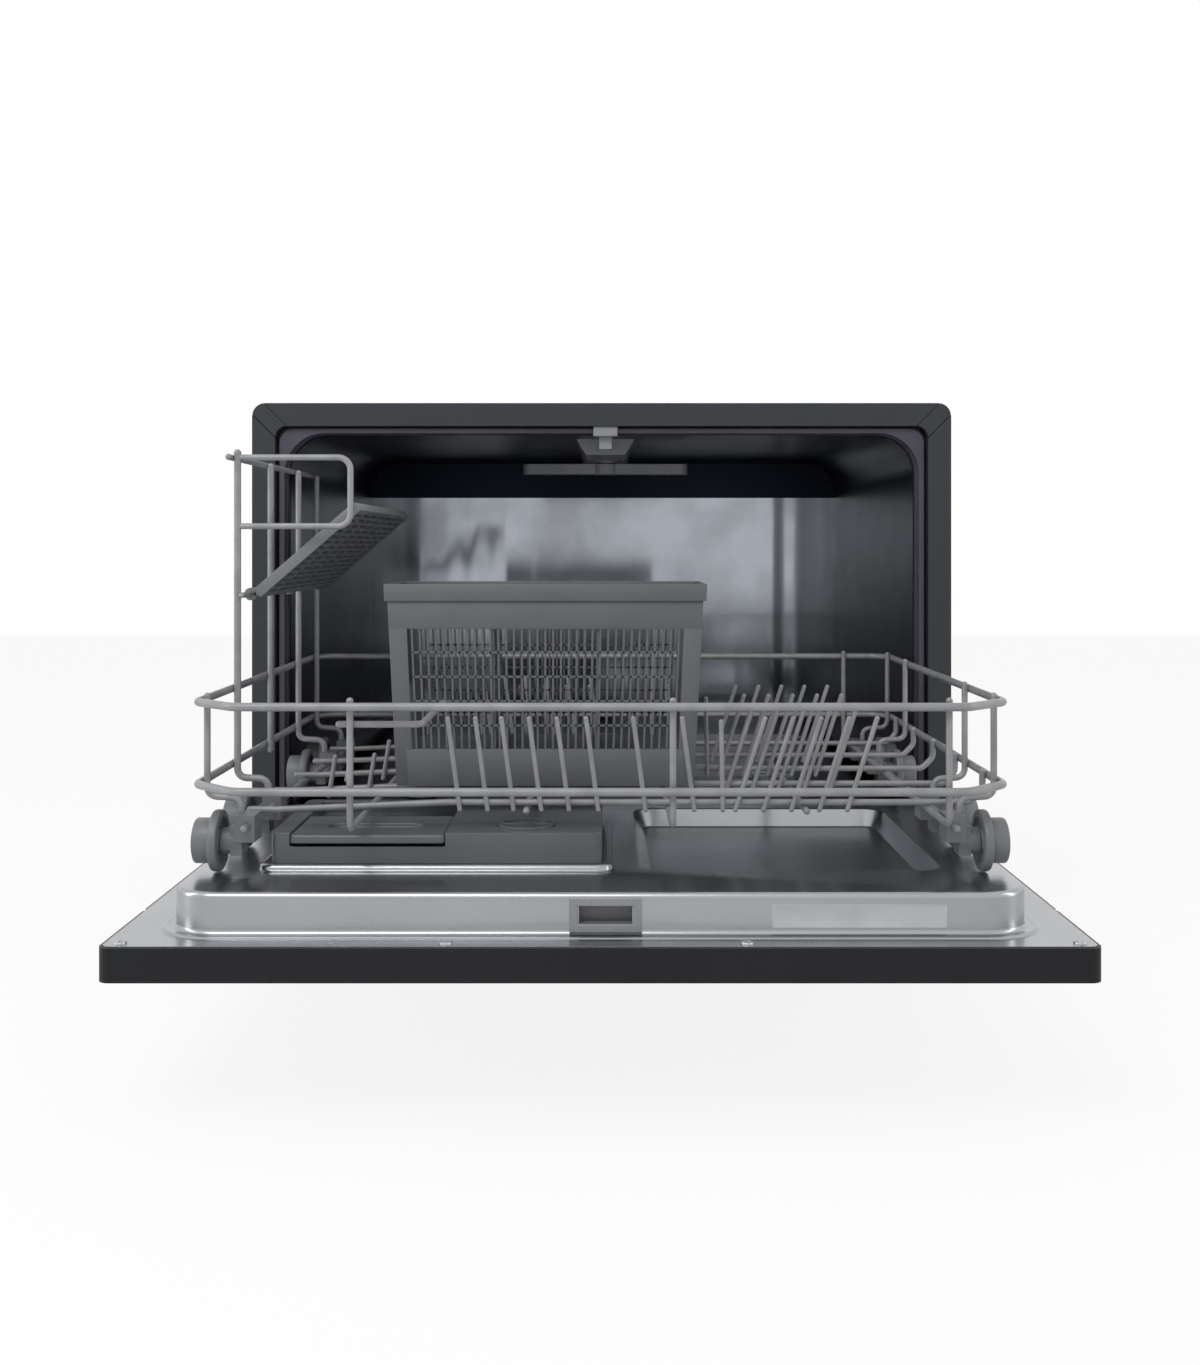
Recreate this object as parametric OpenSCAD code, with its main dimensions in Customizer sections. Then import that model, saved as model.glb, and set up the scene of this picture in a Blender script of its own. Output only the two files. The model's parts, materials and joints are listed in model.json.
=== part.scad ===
/* [Cabinet] */
// Width of the cabinet and of its door
cab_w = 550; // [530:1:600]
// Depth of the cabinet behind its front plane
cab_d = 480; // [470:1:520]
// Height from the floor to the top panel
cab_h = 438; // [432:1:470]
// Height of the adjustable feet under the base
foot_h = 15; // [12:1:25]
// Thickness of the painted sheet panels
panel_t = 1.2; // [0.8:0.1:2]
// Width of the front frame strips
frame_w = 18; // [16:0.5:24]
// Depth of the front frame strips
frame_d = 20; // [16:0.5:24]
// Outer corner radius of the front frame and the casing
frame_r = 10; // [6:0.5:14]
// Height of the kick plate above the floor
kick_h = 84; // [70:1:85]

/* [Tub] */
// Space between the casing's side and the inside of the tub
tub_side = 26; // [24:0.5:32]
// Height of the tub floor above the table
tub_floor = 118; // [110:1:119]
// Space between the top of the casing and the tub ceiling
tub_head = 24; // [22:0.5:30]
// Space between the tub's back wall and the back panel
tub_behind = 60; // [54:1:70]
// Thickness of the tub sheet
tub_t = 1.2; // [0.8:0.1:2]
// Radius of the tub's top corners
tub_r = 32; // [20:1:40]
// Radius of the tub's bottom corners
tub_low_r = 12; // [6:1:12]

/* [Door] */
// Height of the hinge axis above the table
hinge_z = 97; // [95:0.5:99]
// Thickness of the door at its rim
door_t = 19; // [18:0.5:20]
// Space over the free edge of the closed door
door_head = 4; // [3:0.5:8]
// Length of the control panel along the door
panel_l = 86; // [80:1:95]
// Wall of the moulded control panel
moulding_t = 2.2; // [1.6:0.1:3]
// Height of the pressed plateau above the flange
plateau_h = 24.5; // [20:0.5:26]
// Space between the tub's side and the plateau of the closed door
plateau_side = 4; // [3:0.5:9]
// Distance from the free edge to the plateau
plateau_inset = 24; // [22:0.5:30]
// Radius of the plateau's corners
plateau_r = 28; // [15:1:35]
// Depth of the pressed recess beside the dispenser
recess_h = 12; // [6:0.5:16]
// Sideways place of the latch
latch_x = 3; // [-10:0.5:10]

/* [Dispenser] */
// Width of the dispenser body
disp_w = 200; // [190:1:206]
// Depth of the dispenser body
disp_d = 114; // [110:1:116]
// Height of the dispenser's deck above the plateau
disp_h = 22; // [18:0.5:25]
// Width of the sliding detergent lid
lid_w = 93; // [80:1:100]
// Depth of the detergent lid
lid_d = 62; // [55:1:65]
// Thickness of the detergent lid
lid_t = 7; // [5:0.5:9]
// Travel of the detergent lid
lid_travel = 45; // [30:1:48]
// Radius of the rinse aid cap
cap_r = 17.5; // [14:0.5:20]

/* [Rack] */
// Space between the tub's side and the centre of the rack's rails
rack_side = 9; // [7:0.5:13]
// How much shorter the rack is than the tub
rack_short = 40; // [38:1:60]
// Distance of the rack's front rail from the door's free edge
rack_back = 45; // [43:1:55]
// Height of the top rail
top_rail_z = 233; // [228:1:240]
// Height of the lower rail
low_rail_z = 184; // [180:1:190]
// Radius of the rail wires
rail_r = 2.5; // [2:0.1:3]
// Radius of the upright and floor wires
wire_r = 2; // [1.6:0.1:2.3]
// Radius of the tines
tine_r = 1.5; // [1.2:0.1:1.8]
// Height of the tall tines over the floor wires
tine_h = 52; // [40:1:56]
// Pitch of the tall tines
tine_pitch = 17.2; // [15:0.1:20]
// Space between the shelf posts and the tub ceiling
post_head = 28; // [22:1:44]

/* [Wheels] */
// Radius of the wheel flange
flange_r = 18.3; // [16:0.1:18.5]
// Radius of the wheel tread
tread_r = 13.5; // [12:0.1:14]
// Radius of the wheel axle
axle_r = 4; // [3:0.1:5]
// Distance between the two wheels of a pair
wheel_gap = 70; // [62:1:76]

/* [Shelf and basket] */
// Width of the folding cup shelf
shelf_w = 92; // [80:1:94]
// Length of the cup shelf
shelf_l = 236; // [200:1:240]
// Thickness of the cup shelf
shelf_t = 7; // [5:0.5:8]
// Tilt of the cup shelf in use
shelf_tilt = 41; // [35:1:44]
// Width of the cutlery basket at its top
basket_w = 206; // [190:1:208]
// Depth of the cutlery basket
basket_d = 74; // [60:1:76]
// Height of the cutlery basket
basket_h = 131; // [110:1:134]
// Wall of the cutlery basket
basket_t = 2.2; // [1.8:0.1:3]

/* [Hidden] */
$fn = 36;
eps = 0.01;
// Clearance between pieces that do not touch
gap = 0.3;
// Radial clearance of pins in their bores
slip = 0.08;
// Clearance between touching wires of one weldment
weld = 0.05;
// Straight lengths of a bent wire have this share of its radius and run this far into the elbows
bent_share = 0.985;
bent_lap = 0.25;

half_w = cab_w / 2;
tub_half = half_w - tub_side;
tub_top = cab_h - tub_head;
tub_back = cab_d - tub_behind;
plateau_half = tub_half - plateau_side;
// The whole part is shifted so that its box stands centred on the origin
spigot_l = 16;
hinge_y = -12;
door_l = cab_h - hinge_z - door_head;
door_edge = hinge_y - door_l;
part_front = door_edge;
part_back = cab_d + spigot_l;
shift_y = -(part_front + part_back) / 2;

// Heights in the door, which lies open
door_z0 = hinge_z - door_t / 2;
flange_z = hinge_z + door_t / 2;
plateau_z = flange_z + plateau_h;
nose_r = door_t / 2;
sheet_t = 1;
plateau_front = door_edge + plateau_inset;
plateau_back = hinge_y - 29;
door_rim = 1.6;

// Places inside the casing
sheet_in = half_w - panel_t;
frame_in = half_w - frame_w;
frame_top_in = cab_h - frame_w;
frame_foot = hinge_z + 15;
tub_front = frame_d + gap;
base_t = 3;
base_rim = 25;
inner_floor = foot_h + base_t;

// Sump, filter, softener and arms on the tub floor
sump_x = 95;
sump_y = 150;
sump_r = 62;
cup_r = 36;
cup_depth = 46;
soft_x = -110;
soft_y = 150;
neck_r = 30;
arm_y = 215;
arm_z = 136;
riser_r = 15;
riser_y = tub_back + 24;
arm_len = 372;
duct_y = 58;
upper_arm_y = 150;
upper_arm_len = 146;
float_x = -150;
float_y = 62;

// Connections through the back panel
inlet_x = half_w - 95;
inlet_z = 72;
inlet_r = 13.2;
drain_x = half_w - 157;
drain_z = 60;
drain_r = 9.5;
gland_x = 75 - half_w;
gland_z = 62;
gland_r = 7.5;
cord_r = 3.6;

// Wheels and the rack's running gear
axle_z = plateau_z + gap + flange_r;
tub_rail_z = axle_z - tread_r - gap;
wheel_in = tub_half - 23;
wheel_flange_t = 5.5;
wheel_out = tub_half - 7;
rack_half = tub_half - rack_side;
rack_d = tub_back - rack_short;
front_rail_y = door_edge + rack_back;
rear_rail_y = front_rail_y + rack_d;
front_wheel_y = front_rail_y + 33;
rear_wheel_y = rear_rail_y - 21;
wheel_y = [
  front_wheel_y, front_wheel_y + wheel_gap, rear_wheel_y - wheel_gap, rear_wheel_y
];
post_r = 2.3;
runner_x = tub_half - 39;
runner_r = 2.2;
runner_z = axle_z + 9.4;
floor_z = runner_z + 8.7;
post_top = tub_top - post_head;
floor_y = [for (d = [59, 129, 194, 259, 324]) front_rail_y + d];
upright_x = rack_half - rail_r - wire_r - weld;
post_x = rack_half - rail_r - post_r - weld;

// Dispenser places
disp_x0 = 46 - plateau_half;
disp_x1 = disp_x0 + disp_w;
disp_y0 = door_edge + 83;
disp_z0 = flange_z + 3;
disp_top = plateau_z + disp_h;
lid_x0 = disp_x0 + 12;
lid_z0 = disp_top - lid_t - 1;
lid_y0 = disp_y0 - 2;
rinse_x = disp_x1 - 47;
rinse_y = disp_y0 + 24;

// Cup shelf and basket places
pivot_r = 1.8;
shelf_x = -post_x + post_r + pivot_r + weld;
shelf_z = post_top - 92;
shelf_y0 = front_rail_y + 112;
basket_x = -36;
basket_y0 = front_rail_y + 104;
basket_z0 = floor_z + wire_r + gap;
basket_taper = 8;

button_x = [70 - half_w, half_w - 125, half_w - 93, half_w - 61];
display_x = [90 - half_w, 170 - half_w];
button_y = door_edge + 52;
button_r = 7;
button_travel = 1.2;
handle_w = 150;

steel = [0.78, 0.8, 0.83];
charcoal = [0.2, 0.21, 0.23];
edge_black = [0.13, 0.13, 0.14];
wire_grey = [0.49, 0.49, 0.5];
basket_grey = [0.37, 0.38, 0.39];
plastic_grey = [0.43, 0.44, 0.45];
pale_plastic = [0.85, 0.86, 0.87];

function unit(v) = v / norm(v);
function across(u) =
  abs(u[2]) < 0.9 ? unit(cross([0, 0, 1], u)) : unit(cross([1, 0, 0], u));

// Centres the whole part on the row origin
module stand() translate([0, shift_y, 0]) children();

// Places children with their x and z axes along two given directions
module set_on(o, x, z) {
  y = cross(z, x);
  multmatrix([
    [x[0], y[0], z[0], o[0]],
    [x[1], y[1], z[1], o[1]],
    [x[2], y[2], z[2], o[2]],
    [0, 0, 0, 1]
  ]) children();
}

module box(a, b) translate(a) cube(b - a);

module rod(a, b, r) {
  u = unit(b - a);
  set_on(a, across(u), u) cylinder(h = norm(b - a), r = r);
}

// Quarter or part turn of a wire at the corner p, from direction u to direction v
module elbow(p, u, v, r, bend) {
  turn = acos(u * v);
  n = unit(cross(u, v));
  start = p - u * bend * tan(turn / 2);
  centre = start + bend * cross(n, u);
  set_on(centre, unit(start - centre), n)
    rotate_extrude(angle = turn)
      translate([bend, 0]) circle(r = r);
}

function cut(p, q, s, bend) =
  let(turn = acos(unit(q - p) * unit(s - q))) bend * tan(turn / 2);

// A wire bent along points, with true round elbows; closed joins the ends
module wire(pts, r, bend, closed = false) {
  n = len(pts);
  last = closed ? n - 1 : n - 2;
  for (i = [0:last]) {
    a = pts[i];
    b = pts[(i + 1) % n];
    u = unit(b - a);
    at_start = closed || i > 0;
    at_end = closed || i < n - 2;
    before = pts[(i + n - 1) % n];
    after = pts[(i + 2) % n];
    back = at_start ? cut(before, a, b, bend) - bent_lap : 0;
    ahead = at_end ? cut(a, b, after, bend) - bent_lap : 0;
    rod(a + u * back, b - u * ahead, r * bent_share);
    if (at_end) elbow(b, u, unit(after - b), r, bend);
  }
}

// Rectangle with two corner radii, upper and lower, in the plane of the front
module front_outline(half, z0, z1, r_top, r_low) {
  for (s = [-1, 1]) {
    translate([s * (half - r_top), z1 - r_top]) circle(r = r_top);
    translate([s * (half - r_low), z0 + r_low]) circle(r = r_low);
  }
  translate([-half + r_top, z0 + r_low]) square([2 * (half - r_top), z1 - z0 - r_low]);
  translate([-half + r_low, z0]) square([2 * (half - r_low), z1 - z0 - r_top]);
  translate([-half, z0 + r_low]) square([2 * half, z1 - z0 - r_top - r_low]);
}

// Stands a front outline up and gives it a depth from y0 to y1
module deep(y0, y1) translate([0, y1, 0]) rotate([90, 0, 0]) linear_extrude(y1 - y0) children();

// Rounded rectangle seen from above
module plan(x0, x1, y0, y1, r) {
  for (x = [x0 + r, x1 - r])
    for (y = [y0 + r, y1 - r])
      translate([x, y]) circle(r = r);
  translate([x0 + r, y0]) square([x1 - x0 - 2 * r, y1 - y0]);
  translate([x0, y0 + r]) square([x1 - x0, y1 - y0 - 2 * r]);
}

module slab(x0, x1, y0, y1, r, z0, z1)
  translate([0, 0, z0]) linear_extrude(z1 - z0) plan(x0, x1, y0, y1, r);

// Block whose four sides slope outwards by slope from its bottom to its top
module tray_form(x0, x1, y0, y1, z0, z1, slope) {
  intersection() {
    translate([0, y1 + abs(slope), 0]) rotate([90, 0, 0]) linear_extrude(y1 - y0 + 2 * abs(slope))
      polygon([[x0, z0], [x1, z0], [x1 + slope, z1], [x0 - slope, z1]]);
    translate([x0 - abs(slope), 0, 0]) rotate([90, 0, 90]) linear_extrude(x1 - x0 + 2 * abs(slope))
      polygon([[y0, z0], [y1, z0], [y1 + slope, z1], [y0 - slope, z1]]);
  }
}

module mirrored() {
  children();
  mirror([1, 0, 0]) children();
}

foot_x = half_w - 45;
foot_y = [48, cab_d - 45];
stem_r = 4;
stem_l = 12;
pillar_x = tub_half - 14;
pillar_y = [44, tub_back - 30];
pillar_w = 18;

module base_tray() color(charcoal) difference() {
  union() {
    difference() {
      box([-sheet_in + gap, frame_d + 2, foot_h], [sheet_in - gap, cab_d - 3, foot_h + base_rim]);
      box([-sheet_in + 3, frame_d + 4.5, inner_floor], [sheet_in - 3, cab_d - 5.5, cab_h]);
    }
    mirrored() for (y = pillar_y)
      box([pillar_x - pillar_w, y, foot_h], [pillar_x, y + pillar_w, tub_floor - tub_t - gap]);
  }
  mirrored() for (y = foot_y)
    translate([foot_x, y, foot_h - 1]) cylinder(h = stem_l + 3, r = stem_r + slip);
}

module feet() color(edge_black) mirrored() for (y = foot_y) translate([foot_x, y, 0]) {
  cylinder(h = foot_h - 6, r = 15);
  translate([0, 0, foot_h - 6 - eps]) cylinder(h = 6 - weld, r = 8);
  translate([0, 0, foot_h - eps]) cylinder(h = stem_l, r = stem_r);
}

// Steel tub with its front flange, sill, wheel rails and openings
module tub() color(steel) difference() {
  union() {
    deep(tub_front, tub_back + tub_t) difference() {
      front_outline(tub_half + tub_t, tub_floor - tub_t, tub_top + tub_t, tub_r + tub_t, tub_low_r + tub_t);
      front_outline(tub_half, tub_floor, tub_top, tub_r, tub_low_r);
    }
    deep(tub_back, tub_back + tub_t)
      front_outline(tub_half + eps, tub_floor - eps, tub_top + eps, tub_r, tub_low_r);
    deep(tub_front, tub_front + tub_t) difference() {
      front_outline(half_w - 5, hinge_z + 4, cab_h - 5, frame_r, 2);
      front_outline(tub_half, tub_floor, tub_top, tub_r, tub_low_r);
    }
    box([-tub_half + tub_low_r, 5, tub_floor - tub_t], [tub_half - tub_low_r, tub_front + 1, tub_floor]);
    box([-tub_half + tub_low_r, 4, hinge_z + 4], [tub_half - tub_low_r, 4 + tub_t, tub_floor]);
    mirrored()
      box([wheel_in + wheel_flange_t + 1.5, plateau_h + 3, tub_rail_z - 2.4],
          [tub_half - weld, tub_back - 6, tub_rail_z]);
  }
  translate([sump_x, sump_y, tub_floor - 5]) cylinder(h = 10, r = sump_r - 6);
  translate([soft_x, soft_y, tub_floor - 5]) cylinder(h = 10, r = neck_r + gap);
  translate([0, arm_y, tub_floor - 5]) cylinder(h = 10, r = riser_r + gap);
  translate([float_x, float_y, tub_floor - 5]) cylinder(h = 10, r = 3 + slip);
  translate([0, tub_back - 5, tub_top - 8]) rotate([-90, 0, 0]) cylinder(h = 10, r = 5);
}

hook_w = 19;

module tub_gasket() color([0.36, 0.34, 0.4]) difference() {
  union() {
    deep(frame_d - 8, frame_d) difference() {
      front_outline(frame_in - gap, frame_foot, frame_top_in - gap, 9.6, 2);
      front_outline(tub_half + 0.7, frame_foot - 1, tub_top + 0.3, tub_r, 2);
    }
    deep(5, frame_d - 8) difference() {
      front_outline(frame_in - 2.6, frame_foot, frame_top_in - 2, 11, 2);
      front_outline(tub_half + 1.6, frame_foot - 1, tub_top + 0.8, tub_r, 2);
    }
  }
  box([latch_x - hook_w / 2 - gap, 0, tub_top - 3], [latch_x + hook_w / 2 + gap, frame_d + 1, cab_h]);
}

// One side of the casing with its rounded top bend and the ledge under the top panel
module side_panel() {
  bend_x = half_w - frame_r;
  bend_z = cab_h - frame_r;
  box([sheet_in, frame_d + gap + 1.6, foot_h + 1], [half_w, cab_d, bend_z]);
  translate([bend_x, cab_d, bend_z]) rotate([90, 0, 0]) linear_extrude(cab_d - frame_d - gap - 1.6)
    intersection() {
      difference() {
        circle(r = frame_r);
        circle(r = frame_r - panel_t);
      }
      square(frame_r + 1);
    }
  box([bend_x - 14, frame_d + gap + 1.6, cab_h - 2.4 * panel_t],
      [bend_x, cab_d, cab_h - 1.4 * panel_t]);
  box([bend_x - 2, frame_d + gap + 1.6, cab_h - 2.4 * panel_t], [bend_x, cab_d, cab_h]);
}

module side_panel_left() color(charcoal) mirror([1, 0, 0]) side_panel();

module side_panel_right() color(charcoal) side_panel();

module top_panel() color(charcoal)
  slab(-half_w + frame_r + 2 + gap, half_w - frame_r - 2 - gap, frame_d + gap + 1.6, cab_d, 2,
       cab_h - panel_t, cab_h);

vent_n = 12;
vent_pitch = 12;

module back_panel() color(charcoal) difference() {
  union() {
    box([-sheet_in + gap, cab_d - panel_t, foot_h + 1],
        [sheet_in - gap, cab_d, cab_h - frame_r - 2]);
    box([-sheet_in + frame_r, cab_d - panel_t, foot_h + 1],
        [sheet_in - frame_r, cab_d, cab_h - 2.4 * panel_t - gap]);
  }
  at_back(inlet_x, inlet_z) cylinder(h = 20, r = inlet_r + gap);
  at_back(drain_x, drain_z) cylinder(h = 20, r = drain_r + gap);
  at_back(gland_x, gland_z) cylinder(h = 20, r = gland_r + slip);
  for (i = [0:vent_n - 1])
    box([-vent_n * vent_pitch / 2 + i * vent_pitch, cab_d - 5, 300],
        [-vent_n * vent_pitch / 2 + i * vent_pitch + 5, cab_d + 5, 340]);
}

// Places children on the back panel, pointing backwards, from 10 mm inside it
module at_back(x, z) translate([x, cab_d - 10, z]) rotate([-90, 0, 0]) children();

module frame_ring() difference() {
  front_outline(half_w, frame_foot, cab_h, frame_r, eps);
  front_outline(frame_in, frame_foot - 1, frame_top_in, 9.6, eps);
}

seam = 9;
seam_gap = 0.35;

// Diagonal band that holds one corner piece; grow widens it
module corner_band(grow) {
  reach = 60;
  a = seam + grow;
  translate([half_w, cab_h])
    polygon([[1, 1 - a], [1, 1 + a], [-reach, a - reach], [-reach, -a - reach]]);
}

module front_frame() color(charcoal) deep(0, frame_d) difference() {
  frame_ring();
  mirrored() corner_band(seam_gap);
}

module frame_corners() color(charcoal) deep(gap, frame_d) intersection() {
  frame_ring();
  union() mirrored() corner_band(0);
}

module kick_plate() color(edge_black) {
  box([-half_w + 1, 1, foot_h + 1], [half_w - 1, 3.5, kick_h]);
  mirrored() box([half_w - 4.5, 3.4, foot_h + 1], [half_w - 2, frame_d + 2 - weld, kick_h]);
  box([-half_w + 3, 3.4, kick_h - 2.5], [half_w - 3, frame_d - 4, kick_h]);
}

module sump() color(plastic_grey) translate([sump_x, sump_y, 0]) {
  difference() {
    translate([0, 0, 56]) cylinder(h = tub_floor - tub_t - 56 - weld, r = sump_r);
    translate([0, 0, 59]) cylinder(h = tub_floor, r = sump_r - 4);
  }
  translate([0, -sump_r + 1, 70]) rotate([90, 0, 0]) cylinder(h = 12, r = 9);
}

plate_t = 1.2;
hole_n = 22;

// Flat strainer on the tub floor round the filter cup
module filter_plate() color(steel) translate([sump_x, sump_y, tub_floor + weld])
  difference() {
    cylinder(h = plate_t, r = sump_r + 14);
    translate([0, 0, -1]) cylinder(h = 5, r = cup_r + gap);
    for (ring = [0:1])
      for (i = [0:hole_n - 1])
        rotate([0, 0, i * 360 / hole_n + ring * 8])
          translate([cup_r + 9 + ring * 10, 0, -1]) cylinder(h = 5, r = 2.2);
  }

module filter_cup() color(plastic_grey) translate([sump_x, sump_y, tub_floor]) {
  difference() {
    translate([0, 0, -cup_depth]) cylinder(h = cup_depth + 4, r = cup_r);
    translate([0, 0, -cup_depth + 2]) cylinder(h = cup_depth + 4, r = cup_r - 2.4);
  }
  difference() {
    translate([0, 0, plate_t + 2 * weld]) cylinder(h = 3, r = cup_r + 4);
    cylinder(h = 9, r = cup_r - 2.4);
  }
  box([-cup_r + 2, -3, 3], [cup_r - 2, 3, 10]);
}

module softener_tank() color(pale_plastic) difference() {
  union() {
    slab(soft_x - 55, soft_x + 50, soft_y - 60, soft_y + 60, 14, inner_floor + weld, 92);
    translate([soft_x, soft_y, 90]) cylinder(h = tub_floor + 1 - 90, r = neck_r);
    translate([soft_x, soft_y, 106]) cylinder(h = tub_floor - tub_t - weld - 106, r = neck_r + 6);
  }
  translate([soft_x, soft_y, 30]) cylinder(h = 120, r = 23);
}

module softener_cap() color([0.25, 0.4, 0.62]) translate([soft_x, soft_y, tub_floor + 1 + gap]) {
  cylinder(h = 5, r = neck_r - 2);
  translate([0, 0, -9]) cylinder(h = 9 + eps, r = 22.6);
  translate([0, 0, 5 - eps]) box([-20, -3, 0], [20, 3, 6]);
}

pump_y = tub_back - 120;
pump_z = 62;
motor_l = 100;
motor_r = 32;
volute_l = 26;
volute_r = 40;
volute_x = -10;
pump_seat = 20;

module circulation_pump() color([0.3, 0.31, 0.33]) {
  translate([volute_x - motor_l, pump_y, pump_z]) rotate([0, 90, 0]) cylinder(h = motor_l, r = motor_r);
  translate([volute_x - eps, pump_y, pump_z]) rotate([0, 90, 0]) cylinder(h = volute_l, r = volute_r);
  box([volute_x - motor_l + 10, pump_y - pump_seat, inner_floor + weld],
      [volute_x + 10, pump_y + pump_seat, pump_z - pump_seat]);
}

module drain_pump() color([0.3, 0.31, 0.33]) {
  translate([sump_x, 20 + frame_d, 70]) rotate([-90, 0, 0]) cylinder(h = 36, r = 20);
  box([sump_x - 14, 45, inner_floor + weld], [sump_x + 14, 70, 56]);
}

module heater() color([0.6, 0.6, 0.62]) translate([sump_x, sump_y, 0]) {
  translate([0, 0, 92]) rotate_extrude() translate([sump_r + 7, 0]) circle(r = 4);
  for (a = [30, 150, 270]) rotate([0, 0, a])
    box([sump_r + weld, -4, 88], [sump_r + 6, 4, 96]);
}

pipe_r = 10;
pipe_end = sump_y + sqrt(sump_r * sump_r - (35 - pipe_r) * (35 - pipe_r)) + gap;

side_x = half_w - 75;
pipe_z = 70;
feed_z = tub_floor - 9;

module water_pipes() color(edge_black) {
  wire([[volute_x + volute_l + 0.2, pump_y, pipe_z], [60, pump_y, pipe_z], [60, pipe_end, pipe_z]],
       pipe_r, 20);
  wire([[3, pump_y, pump_z + volute_r + weld], [3, pump_y, feed_z], [3, arm_y + 15, feed_z]], 5, 6);
  wire([[0, pump_y + volute_r + gap, pipe_z], [0, riser_y, pipe_z], [0, riser_y, tub_top - 8],
        [0, tub_back + tub_t + weld, tub_top - 8]], 8, 12);
  translate([0, arm_y, 98]) cylinder(h = arm_z + 2.6 - 98, r = riser_r);
  wire([[drain_x, cab_d - 32, drain_z], [drain_x, cab_d - 80, drain_z], [side_x, cab_d - 120, 40],
        [side_x, 100, 40], [sump_x + 28, 66, 66]], 6, 14);
}

collar_t = 1.5;

// Spigot of radius r that stands out of the back panel behind a collar
module spigot(r, bore, inside) difference() {
  union() {
    translate([0, 0, -inside]) cylinder(h = 10 + inside + spigot_l, r = r);
    translate([0, 0, 10 + weld]) cylinder(h = collar_t, r = r + 3.5);
  }
  translate([0, 0, 4 - 2 * inside]) cylinder(h = 80, r = bore);
}

module inlet_valve() color(pale_plastic) {
  at_back(inlet_x, inlet_z) spigot(inlet_r, 8, 0);
  box([inlet_x - 15, cab_d - 45, inlet_z - 20], [inlet_x + 15, cab_d - 10 + eps, inlet_z + 20]);
}

module drain_spigot() color(edge_black) at_back(drain_x, drain_z) spigot(drain_r, 6.4, 22);

gland_l = 17;

module cord_gland() color(edge_black) at_back(gland_x, gland_z) difference() {
  union() {
    translate([0, 0, -4]) cylinder(h = gland_l, r = gland_r);
    translate([0, 0, 10 + weld]) cylinder(h = 3 - weld, r = gland_r + 3);
  }
  translate([0, 0, -10]) cylinder(h = 40, r = cord_r);
}

tank_t = 3;
tank_y = [tub_back - 300, tub_back - 20];
tank_z = [tub_floor + 12, tub_top - 34];

module air_break() color(pale_plastic) difference() {
  box([-sheet_in + weld, tank_y[0], tank_z[0]], [-tub_half - tub_t - 1, tank_y[1], tank_z[1]]);
  box([-sheet_in + tank_t, tank_y[0] + tank_t, tank_z[0] + tank_t],
      [-tub_half - tub_t - 1 - tank_t, tank_y[1] - tank_t, tank_z[1] - 40]);
}

module float_cap() color(plastic_grey) translate([float_x, float_y, tub_floor]) {
  difference() {
    translate([0, 0, gap]) cylinder(h = 17, r = 13);
    translate([0, 0, -1]) cylinder(h = 14, r = 11);
  }
  translate([0, 0, -12]) cylinder(h = 26, r = 3);
}

duct_w = 48;
duct_low_w = 32;
duct_h = 13;

// Channel under the tub ceiling that feeds the upper spray arm
module spray_duct() color(plastic_grey) difference() {
  union() {
    deep(duct_y, tub_back - weld)
      polygon([
        [latch_x - duct_w / 2, tub_top - weld], [latch_x + duct_w / 2, tub_top - weld],
        [latch_x + duct_low_w / 2, tub_top - duct_h], [latch_x - duct_low_w / 2, tub_top - duct_h]
      ]);
    box([latch_x - 4, duct_y - 5, tub_top - 11], [latch_x + 4, duct_y + eps, tub_top - 3]);
    translate([latch_x, upper_arm_y, tub_top - duct_h - 2]) cylinder(h = 4, r = 9);
  }
  translate([latch_x, upper_arm_y, tub_top - 40]) cylinder(h = 33, r = 3 + slip);
}

module spray_arm(length, width, thick, hub, jets) difference() {
  union() {
    slab(-length / 2, length / 2, -width / 2, width / 2, width / 2 - 0.5, 0, thick);
    cylinder(h = thick, r = hub);
  }
  for (i = [1:jets])
    for (s = [-1, 1])
      translate([s * (hub + i * (length / 2 - hub - 6) / (jets + 0.4)), s * width / 6, -1])
        cylinder(h = thick + 2, r = 1.4);
}

module upper_spray_arm() color(plastic_grey)
  translate([latch_x, upper_arm_y, tub_top - duct_h - 12]) {
    spray_arm(upper_arm_len, 16, 9, 12, 3);
    translate([0, 0, 8]) cylinder(h = 9, r = 3);
  }

module lower_spray_arm() color(plastic_grey) translate([0, arm_y, arm_z]) difference() {
  union() {
    spray_arm(arm_len, 34, 11, 24, 6);
    translate([0, 0, -5]) cylinder(h = 5 + eps, r = 20);
  }
  translate([0, 0, -6]) cylinder(h = 9, r = riser_r + slip);
}

module latch_hook() color(plastic_grey) {
  box([latch_x - hook_w / 2, 2, tub_top - 2], [latch_x + hook_w / 2, frame_d, frame_top_in - weld]);
  box([latch_x - 5, 8, tub_top - 12], [latch_x + 5, 12, tub_top - 2 + eps]);
  box([latch_x - 5, 8, tub_top - 12], [latch_x + 5, 14, tub_top - 9]);
}

ear_x = half_w - 13;
ear_t = 2.5;
pin_r = 3;

module hinge_brackets() color([0.6, 0.61, 0.63]) mirrored() difference() {
  union() {
    translate([ear_x, hinge_y, hinge_z]) rotate([0, 90, 0]) cylinder(h = ear_t, r = 6.5);
    box([ear_x, hinge_y, hinge_z - 6.5], [ear_x + ear_t, 60, hinge_z + 3]);
    box([ear_x, frame_d + 4, hinge_z - 6.5], [sheet_in - gap, 60, hinge_z + 3]);
  }
  translate([ear_x - 1, hinge_y, hinge_z]) rotate([0, 90, 0]) cylinder(h = 10, r = pin_r + slip);
}

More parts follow.
